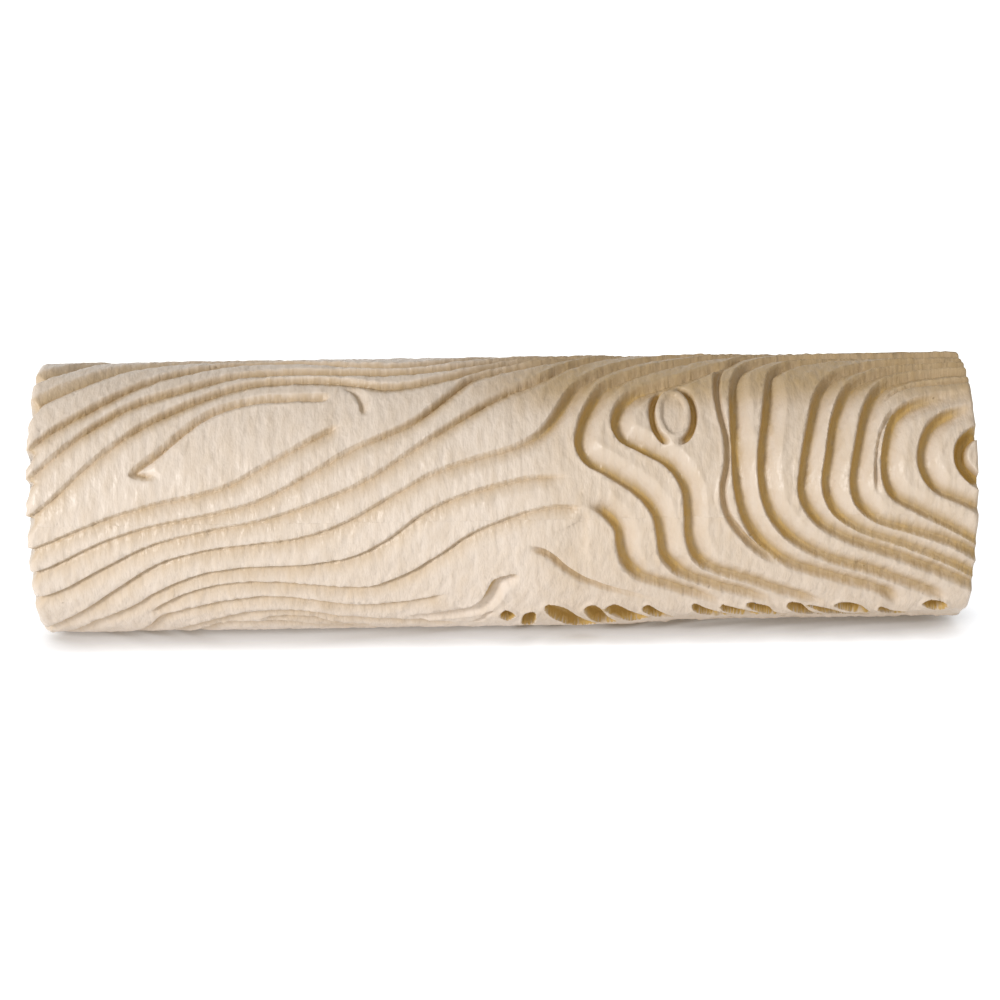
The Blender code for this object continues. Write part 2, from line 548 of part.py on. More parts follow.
def fill_points(curves):
    """A staggered lattice over the plain stretches between the edges."""
    half = HALF_LENGTH / MM - FILL_CLEARANCE_MM
    circumference = 2 * math.pi * UNROLL_RADIUS_MM
    columns = int(2 * half / FILL_SPACING_MM)
    rows = int(circumference / FILL_SPACING_MM)
    lattice = []
    for row in range(rows):
        shift = 0.5 * (row % 2)
        for column in range(columns):
            along = -half + 2 * half * (column + 0.25 + shift) / columns
            lattice.append((along, circumference * row / rows))
    lattice = np.array(lattice)
    clear = np.full(len(lattice), True)
    for curve in curves:
        signed, _, _ = distance_to_edge(lattice[:, 0], lattice[:, 1], curve)
        clear &= (signed < -FILL_CLEARANCE_MM) | (signed > FILL_CLEARANCE_MM)
    return [tuple(point) for point in lattice[clear]]


def unrolled_triangles(points, lines):
    """Triangles over the plan, laid out as a flat ring that has no seam: circles go round the roller."""
    reach = np.exp(points[:, 0] / UNROLL_RADIUS_MM)
    turn = points[:, 1] / UNROLL_RADIUS_MM
    flat = np.stack([reach * np.cos(turn), reach * np.sin(turn)], axis=1)
    found = delaunay_2d_cdt([tuple(point) for point in flat], lines, [], 0, PLAN_WELD)
    out = np.array([(point[0], point[1]) for point in found[0]])
    along = UNROLL_RADIUS_MM * np.log(np.hypot(out[:, 0], out[:, 1]))
    angle = np.arctan2(out[:, 1], out[:, 0])
    place = {}
    for index, sources in enumerate(found[3]):
        for source in sources:
            place[source] = index
    return along, angle, found[2], place


def sleeve_radius(along, angle, edges, pockets):
    """Radius of the relief in metres, with a chamfer at both ends."""
    depth = relief_depth(along, angle * UNROLL_RADIUS_MM, edges, pockets)
    half = HALF_LENGTH / MM
    end_cut = np.clip((np.abs(along) - (half - END_CHAMFER_MM)) / END_CHAMFER_MM, 0.0, 1.0)
    return CREST_RADIUS - MM * np.maximum(depth, END_CHAMFER_MM * end_cut)


def add_bore(builder, verts, rings, angle):
    """Closes the sleeve with two flat ends and a plain bore between them."""
    bores = []
    for ring, x in zip(rings, (-HALF_LENGTH, HALF_LENGTH)):
        bore = []
        for index in ring:
            y = -SLEEVE_BORE_RADIUS * math.cos(angle[index])
            z = SLEEVE_BORE_RADIUS * math.sin(angle[index])
            bore.append(builder.verts.new((x, y, z)))
        for step in range(SLEEVE_FACETS):
            after = (step + 1) % SLEEVE_FACETS
            builder.faces.new((verts[ring[step]], verts[ring[after]], bore[after], bore[step]))
        bores.append(bore)
    for step in range(SLEEVE_FACETS):
        after = (step + 1) % SLEEVE_FACETS
        builder.faces.new((bores[0][step], bores[0][after], bores[1][after], bores[1][step]))


def sleeve_builder():
    """The rubber sleeve: a triangulated relief outside, a plain bore inside."""
    edges = all_edges()
    pockets = [smooth_edge(outline + outline[:1]) for outline in POCKETS]
    points, lines = sleeve_plan(edges, pockets)
    along, angle, triangles, place = unrolled_triangles(points, lines)
    radius = sleeve_radius(along, angle, edges, pockets)
    builder = bmesh.new()
    verts = []
    for x, r, a in zip(along, radius, angle):
        verts.append(builder.verts.new((x * MM, -r * math.cos(a), r * math.sin(a))))
    left_ring = [place[step] for step in range(SLEEVE_FACETS)]
    right_ring = [place[SLEEVE_FACETS + step] for step in range(SLEEVE_FACETS)]
    hole = set(left_ring)
    for triangle in triangles:
        if not all(corner in hole for corner in triangle):
            builder.faces.new([verts[corner] for corner in triangle])
    add_bore(builder, verts, (left_ring, right_ring), angle)
    return builder


# Pieces inside the sleeve

def core_profile():
    """Core tube, end to end."""
    end = HALF_LENGTH - CORE_INSET
    inner = CORE_RADIUS - CORE_WALL
    return [(-end, inner), (end, inner), (end, CORE_RADIUS), (-end, CORE_RADIUS)]


CAP_FACE_X = HALF_LENGTH - CAP_INSET
HUB_FACE_X = CAP_FACE_X - CAP_RECESS_DEPTH
BUSH_FLANGE_X = HUB_FACE_X + FIT_GAP
WASHER_X = BUSH_FLANGE_X + BUSH_FLANGE + FIT_GAP
RING_X = WASHER_X + WASHER_THICKNESS + FIT_GAP
AXLE_END_X = HALF_LENGTH - AXLE_INSET


def cap_profile():
    """End cap at the right end: flange, spigot in the core, hub and recess for the bush."""
    flange_back = CAP_FACE_X - CAP_FLANGE
    spigot = CORE_RADIUS - CORE_WALL - FIT_GAP
    spigot_end = flange_back - CAP_SPIGOT_LENGTH
    web_back = HUB_FACE_X - CAP_WEB
    hub_end = HUB_FACE_X - CAP_HUB_LENGTH
    hub_bore = BUSH_RADIUS + FIT_GAP
    groove_x = CAP_FACE_X - CAP_GROOVE_DEPTH
    groove_in, groove_out = CAP_GROOVE_RADII
    return [
        (CAP_FACE_X, CORE_RADIUS), (flange_back, CORE_RADIUS), (flange_back, spigot),
        (spigot_end, spigot), (spigot_end, spigot - CAP_SPIGOT_WALL),
        (web_back, spigot - CAP_SPIGOT_WALL), (web_back, CAP_HUB_RADIUS),
        (hub_end, CAP_HUB_RADIUS), (hub_end, hub_bore), (HUB_FACE_X, hub_bore),
        (HUB_FACE_X, CAP_RECESS_RADIUS), (CAP_FACE_X, CAP_RECESS_RADIUS),
        (CAP_FACE_X, groove_in), (groove_x, groove_in), (groove_x, groove_out), (CAP_FACE_X, groove_out),
    ]


def add_cap(name, side, parent):
    """An end cap with ribs across its face groove."""
    cap = add_object(name, turned(mirrored(cap_profile(), side), WIDE_FACETS), CAP_BLACK, parent)
    groove_in, groove_out = CAP_GROOVE_RADII
    size = (CAP_GROOVE_DEPTH, CAP_RIB_WIDTH, groove_out - groove_in + 2 * CAP_RIB_SUNK)
    middle = (side * (CAP_FACE_X - CAP_GROOVE_DEPTH / 2 - CAP_RIB_SUNK), 0, (groove_in + groove_out) / 2)
    ribs = bmesh.new()
    for rib in range(CAP_RIB_COUNT):
        turn = Matrix.Rotation(2 * math.pi * (rib + 0.5) / CAP_RIB_COUNT, 4, "X")
        shape = Matrix.Diagonal((*size, 1.0))
        bmesh.ops.create_cube(ribs, size=1.0, matrix=turn @ Matrix.Translation(middle) @ shape)
    cutter = add_object(name + "_ribs", ribs, CAP_BLACK, parent)
    cutter.hide_render = True
    cutter.display_type = "WIRE"
    union = cap.modifiers.new("ribs", "BOOLEAN")
    union.operation = "UNION"
    union.object = cutter


def bush_profile():
    """Flanged bush at the right end."""
    bore = AXLE_RADIUS + RUNNING_GAP
    face = BUSH_FLANGE_X + BUSH_FLANGE
    inner_end = face - BUSH_LENGTH
    return [
        (face, BUSH_FLANGE_RADIUS), (BUSH_FLANGE_X, BUSH_FLANGE_RADIUS), (BUSH_FLANGE_X, BUSH_RADIUS),
        (inner_end, BUSH_RADIUS), (inner_end, bore), (face, bore),
    ]


def washer_profile():
    """Thrust washer at the right end."""
    bore = AXLE_RADIUS + WASHER_BORE_GAP
    outer_x = WASHER_X + WASHER_THICKNESS
    return [(outer_x, WASHER_RADIUS), (WASHER_X, WASHER_RADIUS), (WASHER_X, bore), (outer_x, bore)]


def axle_profile():
    """Axle tube with a ring groove and a chamfer at each end."""
    half = [
        (0.0, AXLE_RADIUS), (RING_X - FIT_GAP, AXLE_RADIUS), (RING_X - FIT_GAP, GROOVE_RADIUS),
        (RING_X + RING_THICKNESS + FIT_GAP, GROOVE_RADIUS), (RING_X + RING_THICKNESS + FIT_GAP, AXLE_RADIUS),
        (AXLE_END_X - AXLE_CHAMFER, AXLE_RADIUS), (AXLE_END_X, AXLE_RADIUS - AXLE_CHAMFER),
        (AXLE_END_X, AXLE_BORE_RADIUS),
    ]
    other_half = [(-x, radius) for x, radius in reversed(half[1:])]
    return other_half + half


def ring_builder(side):
    """Open retaining ring: a flat arc with a lug at each tip."""
    inner = GROOVE_RADIUS + FIT_GAP
    mouth = math.radians(RING_MOUTH_DEGREES)
    steps = NARROW_FACETS
    outline = []
    for step in range(steps + 1):
        angle = mouth / 2 + (2 * math.pi - mouth) * step / steps
        outline.append((RING_RADIUS * math.sin(angle), RING_RADIUS * math.cos(angle)))
    lug_middle = (inner + RING_RADIUS) / 2
    lug_reach = (RING_RADIUS - inner) / 2
    for tip, sweep in ((2 * math.pi - mouth / 2, 1), (mouth / 2, -1)):
        for step in range(1, RING_LUG_STEPS):
            turn = math.pi * step / RING_LUG_STEPS
            radius = lug_middle + sweep * lug_reach * math.cos(turn)
            angle = tip + sweep * RING_LUG_RADIUS / lug_middle * math.sin(turn)
            outline.append((radius * math.sin(angle), radius * math.cos(angle)))
        if sweep == 1:
            for step in range(steps + 1):
                angle = 2 * math.pi - mouth / 2 - (2 * math.pi - mouth) * step / steps
                outline.append((inner * math.sin(angle), inner * math.cos(angle)))
    builder = bmesh.new()
    faces = []
    for x in (RING_X, RING_X + RING_THICKNESS):
        faces.append([builder.verts.new((side * x, y, z)) for y, z in outline])
    builder.faces.new(faces[0])
    builder.faces.new(list(reversed(faces[1])))
    for step in range(len(outline)):
        after = (step + 1) % len(outline)
        builder.faces.new((faces[0][step], faces[1][step], faces[1][after], faces[0][after]))
    return builder


def build():
    """Makes the pieces that stay on the frame's rod and the pieces that roll."""
    clear_scene()
    axle = add_empty("axle")
    roller = add_empty("roller")
    add_object("pattern_sleeve", sleeve_builder(), RUBBER_CREAM, roller)
    add_object("core_tube", turned(core_profile(), WIDE_FACETS), CORE_GREY, roller)
    add_object("axle_tube", turned(axle_profile(), NARROW_FACETS), STEEL, axle)
    for name, side in (("left", -1), ("right", 1)):
        add_cap("end_cap_" + name, side, roller)
        add_object("bearing_bush_" + name, turned(mirrored(bush_profile(), side), NARROW_FACETS),
                   BUSH_NYLON, roller)
        add_object("thrust_washer_" + name, turned(mirrored(washer_profile(), side), NARROW_FACETS),
                   STEEL, axle)
        add_object("retaining_ring_" + name, ring_builder(side), SPRING_STEEL, axle)


build()
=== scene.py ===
"""Looks of the wood-grain pattern roller: its moulded sleeve in full relief, on a pale studio floor.

Lengths are metres unless a name says otherwise. The roller lies along X; angles round it are zero
at the front (-Y) and grow towards the top (+Z).
"""
import math

import bmesh
import bpy
import numpy as np
from mathutils import Matrix, Vector


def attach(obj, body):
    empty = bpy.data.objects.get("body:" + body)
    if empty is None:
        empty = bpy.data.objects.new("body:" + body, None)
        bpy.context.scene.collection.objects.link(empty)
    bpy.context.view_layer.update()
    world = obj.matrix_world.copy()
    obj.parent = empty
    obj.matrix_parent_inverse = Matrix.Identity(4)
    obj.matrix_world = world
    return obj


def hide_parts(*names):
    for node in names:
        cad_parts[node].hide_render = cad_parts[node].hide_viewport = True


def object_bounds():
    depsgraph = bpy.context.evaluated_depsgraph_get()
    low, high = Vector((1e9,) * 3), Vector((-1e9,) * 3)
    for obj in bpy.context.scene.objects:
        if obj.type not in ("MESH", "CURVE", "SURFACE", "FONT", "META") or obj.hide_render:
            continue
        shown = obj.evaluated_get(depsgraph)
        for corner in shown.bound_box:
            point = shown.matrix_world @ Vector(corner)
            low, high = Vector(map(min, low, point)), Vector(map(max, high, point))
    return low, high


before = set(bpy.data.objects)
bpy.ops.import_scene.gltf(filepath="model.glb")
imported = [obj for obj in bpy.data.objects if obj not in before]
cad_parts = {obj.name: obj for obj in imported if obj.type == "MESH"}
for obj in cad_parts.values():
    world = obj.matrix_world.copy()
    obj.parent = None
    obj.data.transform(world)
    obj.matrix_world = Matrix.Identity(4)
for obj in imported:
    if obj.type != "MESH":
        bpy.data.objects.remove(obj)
cad_low, cad_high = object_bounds()

# Camera, read from the photo
CAMERA_ELEVATION = math.radians(12.0)
CAMERA_DISTANCE = 0.5794
CAMERA_SIDE = -0.0052
CAMERA_PAN = 0.0085
CAMERA_TILT = -0.0029
CAMERA_ROLL = -0.0146
SENSOR_MM = 36.0
LENS_MM = 106.9

# Studio
WHITE = (1.0, 1.0, 1.0, 1.0)
FLOOR_HALF_SIZE = 4.0
FLOOR_GAP = 0.0001
FLOOR_ROUGHNESS = 0.9
FLOOR_COLOUR = (0.74, 0.76, 0.79, 1.0)
FLOOR_GLOW = (0.36, 0.355, 0.345, 1.0)
FLOOR_SEEN_NEAR = (0.87, 0.90, 0.95, 1.0)
FLOOR_LIT_REACH = 0.10
FLOOR_NEAR_SHARE = 0.2
FLOOR_SHADOW_REACH = 0.009
KEY_PLACE = (-1.0, -1.05, 0.40)
KEY_SIZE = 0.38
KEY_POWER = 14.0
FILL_PLACE = (0.10, -0.90, 0.25)
FILL_SIZE = 0.6
FILL_POWER = 0.35
LIGHT_COLOUR = (1.0, 1.0, 1.0)
WORLD_STRENGTH = 0.36
WORLD_COLOUR = (1.0, 0.91, 0.76, 1.0)

# Rubber: the colour runs from the land through tan and brown to the recesses as the painted shade grows;
# these darker colours are painted warm shade of the cuts, not the rubber's own colour
LAND_COLOUR = (0.80, 0.70, 0.612, 1.0)
TAN_SHADE_COLOUR = (0.64, 0.515, 0.385, 1.0)
TAN_SHADE = 0.35
BROWN_SHADE_COLOUR = (0.515, 0.375, 0.205, 1.0)
BROWN_SHADE = 0.66
RECESS_SHADE_COLOUR = (0.57, 0.38, 0.14, 1.0)
DEEP_SHADE_COLOUR = (0.50, 0.325, 0.10, 1.0)
STREAKS_PER_METRE = 700
STREAK_SQUEEZE = 0.35
STREAK_SHADE = 0.06
STREAK_UNEVENNESS = 0.2
MOTTLES_PER_METRE = 260
MOTTLE_DETAIL = 4
MOTTLE_FROM = 0.42
MOTTLE_STAIN = 0.6
PEBBLES_PER_METRE = 330
PEBBLE_SHARE = 0.6
SKIN_BUMP = 0.75
SKIN_BUMP_HEIGHT = 0.0005
RUBBER_ROUGHNESS = 0.33
RUBBER_SPECULAR = 0.25
NOISE_DETAIL = 3
NOISE_MIDDLE = 0.5

# Other materials as colour, roughness, metal share and grains per metre
PLAIN_MATERIALS = {
    "core_plastic": ((0.30, 0.30, 0.31, 1.0), 0.55, 0.0, 300),
    "cap_plastic": ((0.025, 0.025, 0.027, 1.0), 0.45, 0.0, 400),
    "nylon": ((0.78, 0.76, 0.70, 1.0), 0.40, 0.0, 500),
    "bright_steel": ((0.62, 0.62, 0.63, 1.0), 0.28, 1.0, 700),
    "spring_steel": ((0.20, 0.20, 0.22, 1.0), 0.35, 1.0, 700),
}
ROUGHNESS_SPREAD = 0.2
SOFT_EDGE = 0.0002
FINE_SOFT_EDGE = 0.0001
SOFT_EDGE_SEGMENTS = 2
SOFT_EDGE_ANGLE = math.radians(40)
WELD_GAP = 0.00001

# Sleeve
MM = 0.001
HALF_LENGTH_MM = 89.0
CREST_RADIUS_MM = 26.4
BORE_RADIUS_MM = 19.3
LAND_SINK_MM = 0.25
UNROLL_RADIUS_MM = 25.4
GRID_ALONG_MM = 0.22
GRID_FRONT_MM = 0.25
GRID_BACK_MM = 0.40
FRONT_FROM_DEGREES = -90.0
FRONT_UNTIL_DEGREES = 105.0
TRIANGLE_LIMIT = 194000
FOLD_ROUNDS = 40
FOLD_FACTOR = 0.7
FOLD_RADIUS = 0.021
FOLD_REACH = 0.0875
LEFT_ROUNDING_MM = 1.6
RIGHT_ROUNDING_MM = 0.8
ROUNDING_STEPS = 7
SCALLOP_MM = 1.5
SCALLOP_REACH_MM = 3.0
SCALLOP_FULL_DEPTH_MM = 0.8
EDGE_STEP_MM = 0.8
LEAST_STEP_MM = 1e-9
RELIEF_SHEET_SHARE = 0.80
INNER_SHEET_PLACES = (0.86, 0.93, 0.99, 1.0)

# Cuts of the grain, in millimetres. Past its edge a cut falls down a wall to a thin groove, crosses a
# floor and rises along a ramp. lead starts it before its edge, roll rounds the top of the wall (0 crisp,
# 1 round), step is the share that rises at once past the floor, and the size after step the share of the
# ramp over which the painted golden shade of the wall fades. A lip stands on the crest and a brim on the far
# side.
def cut(depth, wall, ramp, lead=0.0, roll=0.0, groove=0.0, floor=0.0, step=0.0, shade_share=0.15, lip=0.0,
        brim=0.0):
    """The sizes of one kind of cut."""
    return {"depth": depth, "wall": wall, "ramp": ramp, "lead": lead, "roll": roll, "groove": groove,
            "floor": floor, "step": step, "shade_share": shade_share, "lip": lip, "brim": brim}


FINE_CUT = cut(0.95, 0.65, 2.8, lead=0.25, roll=0.3, groove=0.15, step=0.3, shade_share=1.1, lip=0.05)
BROAD_CUT = cut(1.6, 0.85, 2.6, lead=0.3, roll=0.7, groove=0.25, step=0.45, shade_share=1.0, lip=0.08)
TOP_CUT = cut(1.15, 0.8, 1.6, lead=-0.2, roll=0.4, groove=0.2, step=0.4, shade_share=1.5, lip=0.10)
BOLD_CUT = cut(1.9, 0.85, 3.4, roll=0.05, floor=0.45, shade_share=0.45, lip=0.22, brim=0.08)
OTHER_CUTS = {
    "fine": FINE_CUT,
    "groove": cut(1.3, 0.9, 0.5, floor=0.2, shade_share=0.7, lip=0.34),
    "slim": cut(0.9, 0.6, 0.9, roll=0.2, groove=0.1, lip=0.12),
    "faint": cut(0.8, 0.9, 2.0, lip=0.05),
    "brush": cut(1.3, 0.9, 0.8, roll=0.1, groove=0.2, shade_share=0.5),
    "shoulder": cut(1.4, 2.4, 2.4, roll=0.5, groove=0.26, step=0.5, lip=0.06),
    "step_up": cut(0.45, 1.0, 7.0, roll=0.3, lip=0.08),
    "eye": cut(1.2, 1.2, 1.6, roll=0.4, groove=0.26, step=0.4, shade_share=0.2, lip=0.08, brim=0.1),
    "hump": cut(1.7, 0.9, 2.8, shade_share=0.2, lip=0.15, brim=0.1),
    "moat": cut(1.6, 0.8, 0.6, floor=0.5, shade_share=1.0, lip=0.10),
    "notch": cut(2.4, 1.1, 0.9, floor=0.8, shade_share=0.8, lip=0.20, brim=0.1),
    "gouge": cut(2.4, 0.9, 0.8, floor=1.3, shade_share=0.85, brim=0.34),
    "trench": cut(2.6, 1.0, 1.0, floor=2.6, shade_share=0.85, brim=0.34),
}
LIP_WIDTH_MM = 1.0
BRIM_WIDTH_MM = 0.6
GROOVE_WIDTH_MM = 0.2
STEP_WIDTH_MM = 0.4
CREST_SHARPNESS = 1.9
# Painted warm shade on the walls, grooves and floors of the cuts, deepest in the deepest cuts
RECESS_SHADE = 0.78
SHADE_START_MM = 0.15
SHADE_FADE = 1.2
SHADE_FULL_DEPTH_MM = 1.9
SHADE_FULL_GROOVE_MM = 0.55
DEEP_SHADE_MM = 0.4
REACH_MM = 7.5

# Plain grain is fine on the lower left, broad towards the top and bold on the right, where it thins
# out below the front, towards the top and, on the lower half, where it turns along the roller. Places in
# mm along the roller and in degrees round it; slant is 1 for a line round the roller, 0 for one along it.
BROAD_FROM_DEGREES = 28.0
BROAD_UNTIL_DEGREES = 50.0
BOLD_FROM_MM = 0.0
BOLD_UNTIL_MM = 14.0
THIN_FROM_DEGREES = -24.0
THIN_UNTIL_DEGREES = -42.0
THIN_SHARE = 0.65
# Painted shade that darkens the land of the bold grain on the right
BOLD_SHADE = 0.15
SLANT_BOLD = 0.75
SLANT_THIN = 0.40
SLANT_SHARE = 0.6
LOWER_FROM_DEGREES = 30.0
LOWER_UNTIL_DEGREES = 10.0
TOP_FROM_DEGREES = 48.0
TOP_UNTIL_DEGREES = 70.0
TOP_SHARE = 0.35
# Painted shade over the top on the right, where less light falls: the whole surface there darker and golden
TOP_SHADE = 0.58
TOP_SHADE_FROM_DEGREES = 38.0
TOP_SHADE_UNTIL_DEGREES = 62.0
TOP_SHADE_FROM_MM = -15.0
TOP_SHADE_UNTIL_MM = 15.0
SHADE_BACK_FROM_DEGREES = 85.0
SHADE_BACK_UNTIL_DEGREES = 150.0
BACK_FROM_DEGREES = -110.0
BACK_UNTIL_DEGREES = -130.0

# Roughness of hand-cut grain: the edges wander and their depth chatters along the run
CHATTER_LENGTHS_MM = (1.1, 1.9, 3.7, 8.3)
CHATTER_SHARE = 0.16
CHATTER_EDGE_PHASE = 1.7
CHATTER_WAVE_PHASE = 2.1
CHATTER_SHIFT = 0.5
EDGE_WANDER_MM = 0.06
WRINKLE_MM = 0.08
WRINKLE_LENGTHS_MM = (1.7, 2.6, 4.0, 6.5, 11.0)
WRINKLES_PER_LENGTH = 5
WRINKLE_HEADING = 1.1
WRINKLE_SEED = 7

# Ribs down the walls, left by the tool that cut the pattern
HATCH_MM = 0.2
HATCH_LENGTHS_MM = (0.85, 1.21, 1.74, 2.9)
HATCH_SWAY = 3.0
HATCH_SWAY_LENGTH_MM = 4.0
HATCH_SWAY_PHASE = 2.3
HATCH_PHASE = 1.3

# The surface falls away below the front on the right
UNDERCUT_MM = 1.0
UNDERCUT_FROM_MM = 18.0
UNDERCUT_UNTIL_MM = 42.0
UNDERCUT_FROM_DEGREES = -52.0
UNDERCUT_UNTIL_DEGREES = -64.0
UNDERCUT_BACK_FROM_DEGREES = -100.0
UNDERCUT_BACK_UNTIL_DEGREES = -135.0

# Knot: an oval with a raised rim, a sunk middle and a moat at each side
KNOT_CENTRE = (32.3, 45.2)
KNOT_HALF_SIZE_MM = (2.75, 4.9)
KNOT_RIM_HEIGHT_MM = 0.35
KNOT_RIM_HALF_MM = 0.3
KNOT_RIM_SOFT_MM = 0.4
KNOT_DIP_MM = 0.3
KNOT_MOAT_DEPTH_MM = 1.7
KNOT_MOAT_FROM_MM = 0.45
KNOT_MOAT_UNTIL_MM = 1.6
KNOT_MOAT_WALL_MM = 0.4
# Painted shade in the knot's moat
KNOT_MOAT_SHADE = 0.85
KNOT_MOAT_SIDE_FROM = 0.15
KNOT_MOAT_SIDE_UNTIL = 0.7
KNOT_LEAST_OUT = 0.01

